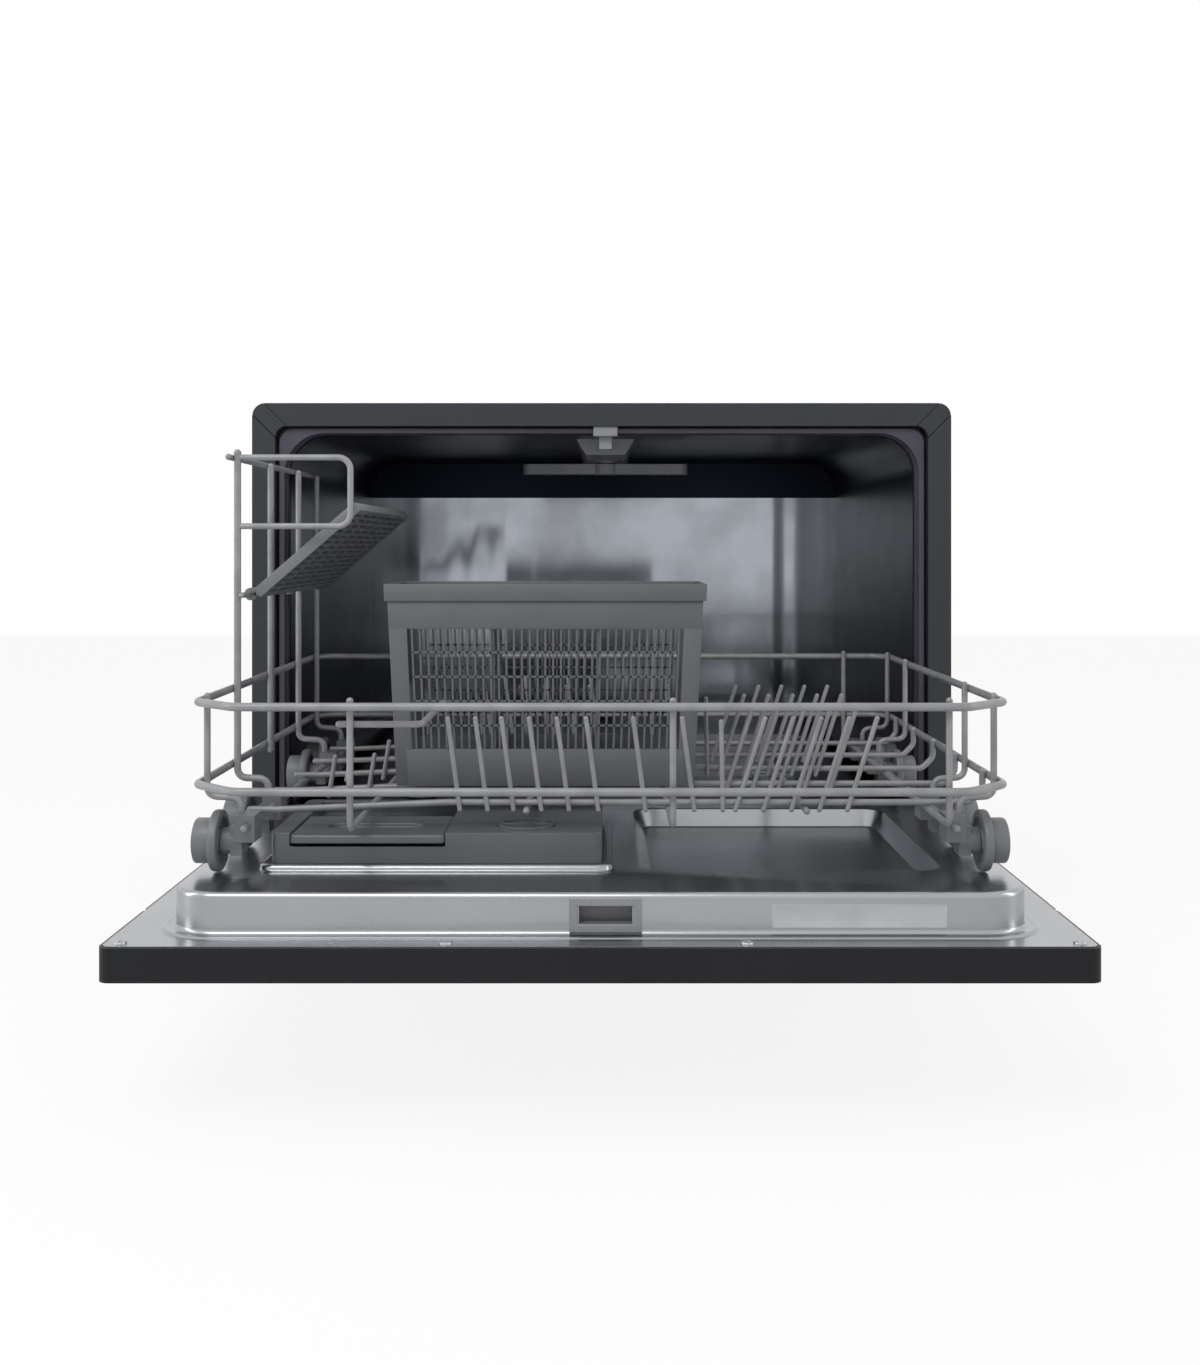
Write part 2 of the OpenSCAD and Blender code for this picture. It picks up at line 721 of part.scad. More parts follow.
module door_springs() color([0.6, 0.61, 0.63]) mirrored() {
  translate([half_w - 8, 62, hinge_z - 16]) rotate([-90, 0, 0]) difference() {
    cylinder(h = 92, r = 5.5);
    translate([0, 0, -1]) cylinder(h = 100, r = 4);
  }
  box([half_w - 12.5, 30, hinge_z - 16.8], [half_w - 4, 62 + eps, hinge_z - 14.6]);
  box([half_w - 12.5, 30, hinge_z - 16.8], [half_w - 4, 34, hinge_z - 6.5 - weld]);
}

door_corner = 7;
split_y = door_edge + panel_l;

// Painted sheet that is the front of the closed door, with its rolled hinge edge
module door_outer_panel() color(charcoal) difference() {
  union() {
    slab(-half_w, half_w, split_y + gap, hinge_y, eps, door_z0, flange_z);
    translate([-half_w, hinge_y, hinge_z]) rotate([0, 90, 0]) cylinder(h = cab_w, r = nose_r);
  }
  box([-half_w + door_rim, split_y + gap + door_rim, door_z0 + 1.2],
      [half_w - door_rim, hinge_y, flange_z + 1]);
  translate([-half_w + door_rim, hinge_y, hinge_z]) rotate([0, 90, 0])
    cylinder(h = cab_w - 2 * door_rim, r = nose_r - 1.2);
  box([-half_w + door_rim, hinge_y - 4, hinge_z], [half_w - door_rim, hinge_y + 4, flange_z + 1]);
  mirrored()
    box([ear_x - 1, hinge_y - 8, hinge_z - 8], [ear_x + ear_t + 1, 2, flange_z + 1]);
}

// Moulded strip along the free edge, with the grip recess and the control cut-outs
module control_panel() color(edge_black) difference() {
  slab(-half_w, half_w, door_edge, split_y, door_corner, door_z0, flange_z - weld);
  difference() {
    slab(-half_w + moulding_t, half_w - moulding_t, door_edge + moulding_t, split_y - moulding_t,
         door_corner - moulding_t, door_z0 + moulding_t, flange_z + 1);
    box([-handle_w / 2 - 2, door_edge + 12, door_z0], [handle_w / 2 + 2, door_edge + 42, flange_z - 2]);
  }
  box([-half_w - 1, split_y - moulding_t - 1, door_z0 + moulding_t],
      [half_w + 1, split_y + 1, flange_z - 3]);
  slab(-handle_w / 2, handle_w / 2, door_edge + 14, door_edge + 40, 6, door_z0 - 1, flange_z - 4);
  for (x = button_x)
    translate([x, button_y, door_z0 - 1]) cylinder(h = moulding_t + 2, r = button_r + gap);
  box([display_x[0], button_y - 10, door_z0 - 1], [display_x[1], button_y + 10, door_z0 + moulding_t + 1]);
}

module display_window() color([0.08, 0.09, 0.11]) {
  box([display_x[0] + gap, button_y - 10 + gap, door_z0 + 0.2],
      [display_x[1] - gap, button_y + 10 - gap, door_z0 + moulding_t + 0.2]);
  box([display_x[0] - 3, button_y - 13, door_z0 + moulding_t + weld],
      [display_x[1] + 3, button_y + 13, door_z0 + 4]);
}

module button(i) color([0.5, 0.51, 0.53]) translate([button_x[i], button_y, door_z0]) {
  translate([0, 0, -0.3]) cylinder(h = moulding_t + 1.2, r = button_r);
  translate([0, 0, moulding_t + 0.3]) cylinder(h = 1, r = button_r + 1.5);
}

module power_button() button(0);

module program_button() button(1);

module delay_button() button(2);

module start_button() button(3);

recess_x0 = disp_x1 + 27;
recess_x1 = plateau_half - 45;
recess_y0 = door_edge + 87;
recess_y1 = plateau_back - 31;
recess_slope = 12;
window_w = 41;
window_h = 19.6;
window_z = flange_z + plateau_h / 2;
screw_x = [11 - half_w, -85, 81, half_w - 11];
screw_y = door_edge + 8;

// Pressed stainless sheet: flange, plateau, dispenser surround and drain recess
module door_inner_panel() color(steel) difference() {
  union() {
    slab(-half_w + door_rim + gap, half_w - door_rim - gap, door_edge + 2, hinge_y - 6, 5,
         flange_z, flange_z + sheet_t - 0.4);
    difference() {
      slab(-plateau_half, plateau_half, plateau_front, plateau_back, plateau_r, flange_z, plateau_z);
      slab(-plateau_half + sheet_t, plateau_half - sheet_t, plateau_front + sheet_t,
           plateau_back - sheet_t, plateau_r - sheet_t, flange_z - 1, plateau_z - sheet_t);
    }
    intersection() {
      tray_form(recess_x0 - sheet_t, recess_x1 + sheet_t, recess_y0 - sheet_t, recess_y1 + sheet_t,
                plateau_z - recess_h - sheet_t, plateau_z, recess_slope);
      box([-half_w, door_edge, 0], [half_w, 0, plateau_z]);
    }
    tray_form(disp_x0 - 8, disp_x1 + 8, disp_y0 - 8, disp_y0 + disp_d + 8, plateau_z + weld,
              plateau_z + 4, -5);
  }
  tray_form(recess_x0, recess_x1, recess_y0, recess_y1, plateau_z - recess_h, plateau_z + 0.001,
            recess_slope);
  box([disp_x0 - gap, disp_y0 - gap, flange_z - 5], [disp_x1 + gap, disp_y0 + disp_d + gap, cab_h]);
  slab(-plateau_half + 8, plateau_half - 8, plateau_front + 8, plateau_back - 8, plateau_r - 8,
       flange_z - 2, flange_z + 2);
  box([latch_x - window_w / 2 + 3, plateau_front - 1, window_z - window_h / 2 + 3],
      [latch_x + window_w / 2 - 3, plateau_front + sheet_t + 1, window_z + window_h / 2 - 3]);
  for (x = screw_x)
    translate([x, screw_y, flange_z - 3]) cylinder(h = 9, r = 1.8);
}

// Plastic insert that the latch hook enters
module latch_window() color(plastic_grey) difference() {
  union() {
    box([latch_x - window_w / 2, plateau_front - 1.4, window_z - window_h / 2],
        [latch_x + window_w / 2, plateau_front - weld, window_z + window_h / 2]);
    box([latch_x - window_w / 2 + 3.3, plateau_front - 1, window_z - window_h / 2 + 3.3],
        [latch_x + window_w / 2 - 3.3, plateau_front + 16, window_z + window_h / 2 - 3.3]);
  }
  box([latch_x - 15.5, plateau_front - 3, window_z - 5],
      [latch_x + 15.5, plateau_front + 14, window_z + 5]);
}

module door_screws() color(steel) for (x = screw_x) translate([x, screw_y, flange_z + sheet_t - 0.4]) {
  translate([0, 0, weld]) difference() {
    cylinder(h = 1.3, r = 3.6);
    translate([0, 0, 0.6]) for (a = [0, 90]) rotate([0, 0, a]) box([-2.2, -0.4, 0], [2.2, 0.4, 2]);
  }
  translate([0, 0, -9]) cylinder(h = 9.2, r = 1.4);
}

module hinge_arms() color([0.6, 0.61, 0.63]) mirrored() {
  box([ear_x - 3.5, -110, door_z0 + 1.2 + weld], [ear_x - 1, hinge_y, hinge_z + 3]);
  box([ear_x - 3.5, hinge_y - eps, hinge_z - 3], [ear_x - 1, hinge_y + 3, hinge_z + 3]);
  box([ear_x - 18, -110, door_z0 + 1.2 + weld], [ear_x - 3.4, -30, door_z0 + 3.6]);
  translate([ear_x - 1.1, hinge_y, hinge_z]) rotate([0, 90, 0]) cylinder(h = ear_t + 3, r = pin_r);
}

stem_z = moulding_t + 1.3 + button_travel + gap;

module control_board() color([0.12, 0.35, 0.2]) {
  box([45 - half_w, button_y - 16, door_z0 + 9], [185 - half_w, button_y + 16, door_z0 + 10.6]);
  box([half_w - 165, button_y - 16, door_z0 + 9], [half_w - 35, button_y + 16, door_z0 + 10.6]);
  for (x = button_x)
    translate([x, button_y, door_z0 + stem_z]) cylinder(h = 9 - stem_z + eps, r = 2.5);
  for (x = [display_x[0] + 10, display_x[1] - 10])
    translate([x, button_y, door_z0 + 4 + weld]) cylinder(h = 5, r = 2.5);
  for (x = [53 - half_w, 177 - half_w, half_w - 157, half_w - 43])
    for (s = [-1, 1])
      translate([x, button_y + s * 13, door_z0 + moulding_t + weld]) cylinder(h = 9 - moulding_t, r = 2);
}

cup_x0 = lid_x0 + 7;
cup_y0 = disp_y0 + 4;
cup_l = 32;

module dispenser_body() color(plastic_grey) difference() {
  slab(disp_x0, disp_x1, disp_y0, disp_y0 + disp_d, 5, disp_z0, disp_top);
  box([lid_x0 - gap, disp_y0 - 1, lid_z0 - gap],
      [lid_x0 + lid_w + gap, lid_y0 + lid_d + lid_travel + 2, disp_top + 1]);
  box([cup_x0, cup_y0, disp_z0 + 4], [cup_x0 + lid_w - 14, cup_y0 + cup_l, disp_top]);
  translate([rinse_x, rinse_y, disp_top - 3]) cylinder(h = 9, r = cap_r + gap);
  translate([rinse_x, rinse_y, disp_z0 + 4]) cylinder(h = 60, r = cap_r - 3);
}

module detergent_lid() color(plastic_grey) difference() {
  slab(lid_x0, lid_x0 + lid_w, lid_y0, lid_y0 + lid_d, 3, lid_z0, lid_z0 + lid_t);
  slab(lid_x0 + 18, lid_x0 + lid_w - 17, lid_y0 + 22, lid_y0 + 38, 7.5, lid_z0 + lid_t - 3, lid_z0 + 20);
}

module rinse_aid_cap() color(basket_grey) translate([rinse_x, rinse_y, disp_top]) difference() {
  union() {
    translate([0, 0, -3 + gap]) cylinder(h = 4, r = cap_r);
    translate([0, 0, -12]) cylinder(h = 10, r = cap_r - 3 - gap);
  }
  for (s = [-1, 1])
    translate([0, s * 1.5, -1]) intersection() {
      cylinder(h = 9, r = cap_r - 3);
      box([-cap_r, min(0, s * cap_r), 0], [cap_r, max(0, s * cap_r), 9]);
    }
}

chamfer_x = 28;
chamfer_y = 27;
rear_cut = 12;

function ring_points(z) = [
  [-rack_half + chamfer_x, front_rail_y, z], [rack_half - chamfer_x, front_rail_y, z],
  [rack_half, front_rail_y + chamfer_y, z], [rack_half, rear_rail_y - rear_cut, z],
  [rack_half - rear_cut, rear_rail_y, z], [-rack_half + rear_cut, rear_rail_y, z],
  [-rack_half, rear_rail_y - rear_cut, z], [-rack_half, front_rail_y + chamfer_y, z]
];

module rack_rails() color(wire_grey) {
  wire(ring_points(top_rail_z), rail_r, 12, true);
  wire(ring_points(low_rail_z), rail_r, 12, true);
}

left_drop_x = -95;
left_floor_z = runner_z + runner_r + wire_r + weld;
long_x = [95 - rack_half, 42, rack_half - 38];
base_x = [-45.5, 126];
post_y = [wheel_y[1], wheel_y[1] + 93, wheel_y[2], wheel_y[3]];
guard_low_z = post_top - 47.5;
guard_x = 78 - rack_half;

// Foot wires, floor wires, uprights, shelf posts and guards
module rack_wires() color(wire_grey) {
  for (y = wheel_y)
    foot_wire(1, y, top_rail_z + 3, wire_r);
  foot_wire(-1, wheel_y[0], top_rail_z + 3, wire_r);
  for (i = [1:3])
    foot_wire(-1, wheel_y[i], i == 1 ? post_top : post_top - 4, post_r);
  rod([-post_x, post_y[1], low_rail_z - 3], [-post_x, post_y[1], post_top - 4], post_r);
  rod([shelf_x, wheel_y[1] - 6, shelf_z], [shelf_x, wheel_y[3] + 6, shelf_z], pivot_r);
  mirrored()
    rod([runner_x, front_wheel_y - 14, runner_z], [runner_x, rear_wheel_y + 12, runner_z], runner_r);
  for (y = floor_y)
    wire([
      [-runner_x - 6, y, left_floor_z], [-runner_x + 12, y, left_floor_z],
      [left_drop_x, y, floor_z], [upright_x - 8, y, floor_z], [upright_x, y, floor_z + 8],
      [upright_x, y, low_rail_z + 3]
    ], wire_r, 7);
  for (x = long_x)
    wire([
      [x, front_rail_y + rail_r + wire_r + weld, top_rail_z + 3],
      [x, front_rail_y + rail_r + wire_r + weld, long_z(x)],
      [x, rear_rail_y - rail_r - wire_r - weld, long_z(x)],
      [x, rear_rail_y - rail_r - wire_r - weld, top_rail_z + 3]
    ], wire_r, 7);
  for (x = base_x)
    rod([x, floor_y[0] - 8, long_z(x)], [x, floor_y[4] + 8, long_z(x)], wire_r);
  shelf_guards();
}

function floor_at(x) =
  x > left_drop_x ? floor_z
  : left_floor_z + (x + runner_x - 12) / (left_drop_x + runner_x - 12) * (floor_z - left_floor_z);
function long_z(x) = floor_at(x) - 2 * wire_r - weld - (x < left_drop_x ? 0.3 : 0);

// Upright that runs down the side and bends in to the wheel bracket; s is the side
module foot_wire(s, y, top, r) {
  x = rack_half - rail_r - r - weld;
  clip_x = runner_x + 5;
  wire([[s * x, y, top], [s * x, y, low_rail_z - 8], [s * clip_x, y, runner_z + 16],
        [s * clip_x, y, runner_z + 7.2]], r, 6);
}

module shelf_guards() {
  x = -post_x;
  y = post_y[0];
  wire([
    [x + post_r + weld, y, post_top - 3], [guard_x, y, post_top - 3],
    [guard_x, y, guard_low_z], [x + post_r + weld, y, guard_low_z]
  ], wire_r, 8);
  rod([x - post_r - wire_r - weld, y - 6, post_top - 3],
      [x - post_r - wire_r - weld, post_y[3] + 6, post_top - 3], wire_r);
  side_guard_y = front_rail_y + rail_r + 3 * wire_r + 2 * weld;
  wire([
    [88 - rack_half, side_guard_y, top_rail_z - 11], [136 - rack_half, side_guard_y, top_rail_z - 11],
    [140 - rack_half, basket_y0 - 18, top_rail_z - 7]
  ], wire_r, 5);
}

// One tine on a floor wire, leaning sideways by lean at its top
module tine(x, y, lean, h) {
  base = floor_at(x);
  side_y = y - wire_r - tine_r - weld;
  rod([x - lean * 0.07, side_y, base - wire_r - 2], [x + lean, side_y, base + h], tine_r);
}

middle_x = [-87, -70, -54, -37, -20, -2, 27, 57];

module rack_tines() color(wire_grey) {
  for (y = [floor_y[0], floor_y[1], floor_y[2], floor_y[3]])
    for (i = [0:4])
      tine(84 + i * tine_pitch, y, 17, tine_h);
  for (x = middle_x)
    tine(x, floor_y[0], -7, tine_h);
  for (y = [floor_y[3], floor_y[4]])
    for (x = middle_x)
      tine(x, y, -7, tine_h);
  for (y = [floor_y[1], floor_y[2]])
    for (x = [60 - rack_half, 86 - rack_half])
      tine(x, y, 4, 22);
  for (y = [floor_y[0], floor_y[2]])
    tine(75, y, -1, 50);
}

// Clip, arm and axle of each wheel; the foot wire ends on the clip
module wheel_brackets() color(plastic_grey) mirrored() for (y = wheel_y) translate([0, y, 0])
  difference() {
    union() {
      box([runner_x - 5, -9, runner_z - 9], [runner_x + 7, 9, runner_z + 6.9]);
      box([runner_x + 3, -7, axle_z - 8], [wheel_in - 6, 7, runner_z]);
      translate([runner_x + 3, 0, axle_z]) rotate([0, 90, 0]) {
        cylinder(h = wheel_in - gap - runner_x - 3, r = 8);
        cylinder(h = wheel_out - runner_x - 4, r = axle_r);
      }
    }
    translate([runner_x, 10, runner_z]) rotate([90, 0, 0]) cylinder(h = 20, r = runner_r + slip);
  }

// Flanged wheel number i: 0 to 3 on the left, 4 to 7 on the right, front to back
module wheel(i) color(plastic_grey) {
  s = i < 4 ? -1 : 1;
  translate([s * wheel_in, wheel_y[i % 4], axle_z]) rotate([0, s * 90, 0]) difference() {
    union() {
      cylinder(h = wheel_flange_t, r = flange_r);
      cylinder(h = wheel_out - wheel_in, r = tread_r);
    }
    translate([0, 0, -1]) cylinder(h = 30, r = axle_r + slip);
    translate([0, 0, 6]) difference() {
      cylinder(h = 30, r = tread_r - 2.5);
      cylinder(h = 30, r = axle_r + 2.5);
    }
  }
}

module wheel_1() wheel(0);

module wheel_2() wheel(1);

module wheel_3() wheel(2);

module wheel_4() wheel(3);

module wheel_5() wheel(4);

module wheel_6() wheel(5);

module wheel_7() wheel(6);

module wheel_8() wheel(7);

shelf_cols = 6;
shelf_rows = 16;
shelf_rim = 4;
shelf_bar = 2.4;

eye_r = 4.2;
eye_l = 10;
eye_y = [8, 122, 218];

// Ribbed grid plate with three eyes that turn on the pivot wire of the shelf posts
module cup_shelf() color(basket_grey) translate([shelf_x, shelf_y0, shelf_z]) rotate([0, -shelf_tilt, 0]) {
  grid_w = shelf_w - eye_r - 1;
  cell_x = (grid_w - 2 * shelf_rim + shelf_bar) / shelf_cols;
  cell_y = (shelf_l - 2 * shelf_rim + shelf_bar) / shelf_rows;
  translate([eye_r + 1, 0, -shelf_t]) linear_extrude(shelf_t) difference() {
    square([grid_w, shelf_l]);
    for (i = [0:shelf_cols - 1])
      for (j = [0:shelf_rows - 1])
        translate([shelf_rim + i * cell_x, shelf_rim + j * cell_y])
          square([cell_x - shelf_bar, cell_y - shelf_bar]);
  }
  for (y = eye_y)
    difference() {
      union() {
        translate([0, y + eye_l, 0]) rotate([90, 0, 0]) cylinder(h = eye_l, r = eye_r);
        box([0, y, -eye_r], [eye_r + 2, y + eye_l, -0.5]);
      }
      translate([0, y + eye_l + 1, 0]) rotate([90, 0, 0]) cylinder(h = eye_l + 2, r = pivot_r + slip);
    }
}

bars_x = 20;
bars_z = 6;
basket_foot = 24;
basket_head = 29;

function basket_half(z) = basket_w / 2 - basket_taper * (1 - z / basket_h);

module basket_form(inset, y0, y1, z0, z1) deep(y0, y1)
  polygon([
    [-basket_half(z0) + inset, z0], [basket_half(z0) - inset, z0],
    [basket_half(z1) - inset, z1], [-basket_half(z1) + inset, z1]
  ]);

// Cutlery basket with grid walls, two dividers and a barred floor
module cutlery_basket() color(basket_grey) translate([basket_x, basket_y0, basket_z0]) difference() {
  union() {
    basket_form(0, 0, basket_d, 0, basket_h);
    basket_form(-2, -2, basket_d + 2, basket_h - 11, basket_h);
  }
  for (i = [0:2])
    intersection() {
      basket_form(basket_t, basket_t, basket_d - basket_t, 3, basket_h + 1);
      box([-basket_w / 2 + i * (basket_w + basket_t) / 3, 0, 3],
          [-basket_w / 2 + i * (basket_w + basket_t) / 3 + (basket_w - 2 * basket_t) / 3,
           basket_d, basket_h + 1]);
    }
  cell_x = (basket_w - 44) / bars_x;
  cell_z = (basket_h - basket_foot - basket_head + 3) / bars_z;
  for (i = [0:bars_x - 1])
    for (k = [0:bars_z - 1])
      box([-basket_w / 2 + 22 + i * cell_x, -5, basket_foot + k * cell_z],
          [-basket_w / 2 + 22 + i * cell_x + cell_x - 3, basket_d + 5, basket_foot + (k + 1) * cell_z - 3]);
}

stand() base_tray();
stand() feet();
stand() tub();
stand() tub_gasket();
stand() side_panel_left();
stand() side_panel_right();
stand() top_panel();
stand() back_panel();
stand() front_frame();
stand() frame_corners();
stand() kick_plate();
stand() sump();
stand() filter_plate();
stand() filter_cup();
stand() softener_tank();
stand() softener_cap();
stand() circulation_pump();
stand() drain_pump();
stand() heater();
stand() water_pipes();
stand() inlet_valve();
stand() drain_spigot();
stand() cord_gland();
stand() air_break();
stand() float_cap();
stand() spray_duct();
stand() upper_spray_arm();
stand() lower_spray_arm();
stand() latch_hook();
stand() hinge_brackets();
stand() door_springs();
stand() door_outer_panel();
stand() control_panel();
stand() display_window();
stand() power_button();
stand() program_button();
stand() delay_button();
stand() start_button();
stand() door_inner_panel();
stand() latch_window();
stand() door_screws();
stand() hinge_arms();
stand() control_board();
stand() dispenser_body();
stand() detergent_lid();
stand() rinse_aid_cap();
stand() rack_rails();
stand() rack_wires();
stand() rack_tines();
stand() wheel_brackets();
stand() wheel_1();
stand() wheel_2();
stand() wheel_3();
stand() wheel_4();
stand() wheel_5();
stand() wheel_6();
stand() wheel_7();
stand() wheel_8();
stand() cup_shelf();
stand() cutlery_basket();
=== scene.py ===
# %% [markdown]
# # A countertop dishwasher with its door open
# The real machine is a painted steel box with a stainless tub, a door that drops open, and a rack of
# nylon-coated wire that rolls out over the door on eight small wheels. The working parts come from a
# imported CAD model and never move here. This lesson gives each of them its surface, and rebuilds the
# pieces whose charm is in their soft edges: pressed sheet, bent wire, moulded grids and wheels.

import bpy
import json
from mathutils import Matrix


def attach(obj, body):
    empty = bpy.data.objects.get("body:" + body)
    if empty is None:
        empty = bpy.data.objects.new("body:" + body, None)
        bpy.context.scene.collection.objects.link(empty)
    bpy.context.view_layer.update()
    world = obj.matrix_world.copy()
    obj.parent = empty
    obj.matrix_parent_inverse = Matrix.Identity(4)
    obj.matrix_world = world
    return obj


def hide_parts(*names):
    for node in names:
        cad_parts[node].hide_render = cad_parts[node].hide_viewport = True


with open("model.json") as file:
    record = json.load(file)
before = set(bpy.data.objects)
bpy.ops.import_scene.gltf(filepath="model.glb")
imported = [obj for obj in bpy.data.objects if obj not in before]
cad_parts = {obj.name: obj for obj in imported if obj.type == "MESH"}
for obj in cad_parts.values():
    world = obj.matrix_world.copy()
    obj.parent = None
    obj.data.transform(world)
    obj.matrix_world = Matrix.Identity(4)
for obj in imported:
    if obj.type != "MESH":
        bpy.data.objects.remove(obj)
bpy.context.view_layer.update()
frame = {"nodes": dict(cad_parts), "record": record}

import json
import math

import bmesh
import bpy
from mathutils import Matrix, Vector

scene = bpy.context.scene
nodes = frame["nodes"]

# %% [markdown]
# ## Millimetres and the cabinet's front plane
# The CAD was drawn in millimetres from the cabinet's front plane, and packed so that its box stands
# centred. Keeping the same numbers here makes every piece easy to check, so one helper turns a
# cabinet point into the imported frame.

# %% Sizes that many pieces share
MM = 0.001
FRONT_PLANE = -73.5
DOOR_EDGE, HINGE_Y = -349.0, -12.0
FLANGE_Z, PLATEAU_Z = 107.1, 131.0
FRONT_RAIL, REAR_RAIL, RACK_HALF = -304.0, 76.0, 240.0
AXLE_Z = 149.6
WHEEL_Y = [-271.0, -201.0, -15.0, 55.0]
LATCH_X = 3.0


def spot(x, y, z):
    """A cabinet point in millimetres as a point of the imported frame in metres."""
    return Vector((x * MM, (y + FRONT_PLANE) * MM, z * MM))


TO_FRAME = Matrix.Translation((0, FRONT_PLANE * MM, 0)) @ Matrix.Scale(MM, 4)
print("cabinet front plane in the packed frame:", spot(0, 0, 0).y)

# %% [markdown]
# ## The camera
# The photograph was taken level, from straight in front, about 1.1 m from the cabinet. The door's
# four corners and the cabinet's edges give the focal length, and the point where receding edges meet
# gives the lens shift. A shifted lens keeps uprights upright, as the photographer's did.

# %% Camera at the photograph's view
EYE = (2.7, -1135, 326.3)
LENS, SHIFT_X, SHIFT_Y = 38.06, -0.0037, -0.1007


def put(name, data):
    """A new object of the scene."""
    thing = bpy.data.objects.new(name, data)
    scene.collection.objects.link(thing)
    return thing


camera = put("camera", bpy.data.cameras.new("camera"))
camera.location = spot(*EYE)
camera.rotation_euler = (math.radians(90), 0, 0)
camera.data.lens = LENS
camera.data.shift_x, camera.data.shift_y = SHIFT_X, SHIFT_Y
camera.data.clip_start = 0.02
camera.data.dof.use_dof = False
scene.camera = camera
print("camera at", [round(v, 4) for v in camera.location])

# %% [markdown]
# ## A plain studio
# White paper under and behind the machine, one broad lamp above and in front, and two side lamps
# that draw long soft highlights along the steel. The world is white only for what the camera and the
# reflections see, and a lower grey for the light that it casts, so that colours come out as written.

# %% World and lamps
def step(tree, kind, links=None, values=None, **settings):
    """Adds a node, sets its properties and socket values, and links its inputs."""
    node = tree.nodes.new(kind)
    for key, value in settings.items():
        setattr(node, key, value)
    for key, value in (values or {}).items():
        node.inputs[key].default_value = value
    for key, output in (links or {}).items():
        tree.links.new(output, node.inputs[key])
    return node


def lit_world(seen, cast):
    world = bpy.data.worlds.new("studio")
    scene.world = world
    world.use_nodes = True
    tree = world.node_tree
    path = step(tree, "ShaderNodeLightPath").outputs
    white = path["Is Camera Ray"]
    for ray in ("Is Glossy Ray", "Is Transmission Ray"):
        white = step(tree, "ShaderNodeMath", {0: white, 1: path[ray]}, operation="MAXIMUM").outputs[0]
    level = step(tree, "ShaderNodeMapRange", {"Value": white}, {"To Min": cast, "To Max": seen})
    back = tree.nodes["Background"]
    back.inputs["Color"].default_value = (1, 1, 1, 1)
    tree.links.new(level.outputs["Result"], back.inputs["Strength"])


def lamp(name, place, aim, size, power):
    data = bpy.data.lights.new(name, "AREA")
    data.shape = "RECTANGLE"
    data.size, data.size_y = size
    data.energy = power
    holder = put(name, data)
    holder.location = place
    holder.rotation_euler = (Vector(aim) - Vector(place)).to_track_quat("-Z", "Y").to_euler()


AIM, STRIP = (0, -0.2, 0.2), (0.35, 1.2)
lit_world(seen=1.0, cast=0.55)
lamp("key", (-0.5, -1.3, 1.5), AIM, (1.1, 0.7), 13)
lamp("left_strip", (-1.5, -0.5, 0.7), AIM, STRIP, 5)
lamp("right_strip", (1.5, -0.5, 0.7), AIM, STRIP, 4)
scene.view_settings.view_transform = "Standard"

# %% Floor
def material(name):
    """A new material, its tree and its Principled shader."""
    made = bpy.data.materials.new(name)
    made.use_nodes = True
    return made, made.node_tree, made.node_tree.nodes["Principled BSDF"]


def white_paper(glow):
    """Matt white paper that the camera sees nearly shadowless, so that it joins the white world."""
    paper, tree, matt = material("white_paper")
    matt.inputs["Base Color"].default_value = (0.93, 0.93, 0.93, 1)
    matt.inputs["Roughness"].default_value = 0.9
    light = step(tree, "ShaderNodeEmission")
    path = step(tree, "ShaderNodeLightPath")
    share = step(tree, "ShaderNodeMath", {0: path.outputs["Is Camera Ray"]}, {1: glow},
                 operation="MULTIPLY")
    blend = step(tree, "ShaderNodeMixShader",
                 {"Fac": share.outputs[0], 1: matt.outputs["BSDF"], 2: light.outputs["Emission"]})
    tree.links.new(blend.outputs["Shader"], tree.nodes["Material Output"].inputs["Surface"])
    return paper


bpy.ops.mesh.primitive_plane_add(size=8)
floor = bpy.context.object
floor.name = "floor"
floor.data.materials.append(white_paper(glow=0.88))
print("floor:", [round(v, 1) for v in floor.dimensions], "metres")

# %% [markdown]
# ## Effects that several finishes share
# Four small shader groups do the work of every surface: a stretched grain for brushed steel, a pebbled
# skin for moulded plastic and paint, broad handling marks, and a gentle waviness for thin sheet. Each
# is built once, with named inputs, and every finish sets its own values.

# %% Shader groups
def group(kind, name, inputs, outputs):
    """A node group with inputs of (name, type, value) and outputs of (name, type).

    It gives back the tree, what the inputs hand in, and the node that takes the outputs.
    """
    tree = bpy.data.node_groups.new(name, kind)
    for label, sort, value in inputs:
        socket = tree.interface.new_socket(label, in_out="INPUT", socket_type="NodeSocket" + sort)
        if value is not None:
            socket.default_value = value
    for label, sort in outputs:
        tree.interface.new_socket(label, in_out="OUTPUT", socket_type="NodeSocket" + sort)
    return tree, tree.nodes.new("NodeGroupInput").outputs, tree.nodes.new("NodeGroupOutput")


def noise_group(name, stretch, detail, scale, low, high):
    """Noise on Object coordinates, spread between low and high, as a mask from 0 to 1."""
    inputs = [("Scale", "Float", scale), ("Stretch", "Vector", stretch)]
    tree, given, sink = group("ShaderNodeTree", name, inputs, [("Mask", "Float")])
    where = step(tree, "ShaderNodeTexCoord")
    fit = step(tree, "ShaderNodeMapping",
               {"Vector": where.outputs["Object"], "Scale": given["Stretch"]})
    noise = step(tree, "ShaderNodeTexNoise",
                 {"Vector": fit.outputs["Vector"], "Scale": given["Scale"]}, {"Detail": detail})
    spread = step(tree, "ShaderNodeMapRange", {"Value": noise.outputs["Fac"]},
                  {"From Min": low, "From Max": high})
    tree.links.new(spread.outputs["Result"], sink.inputs["Mask"])
    return tree


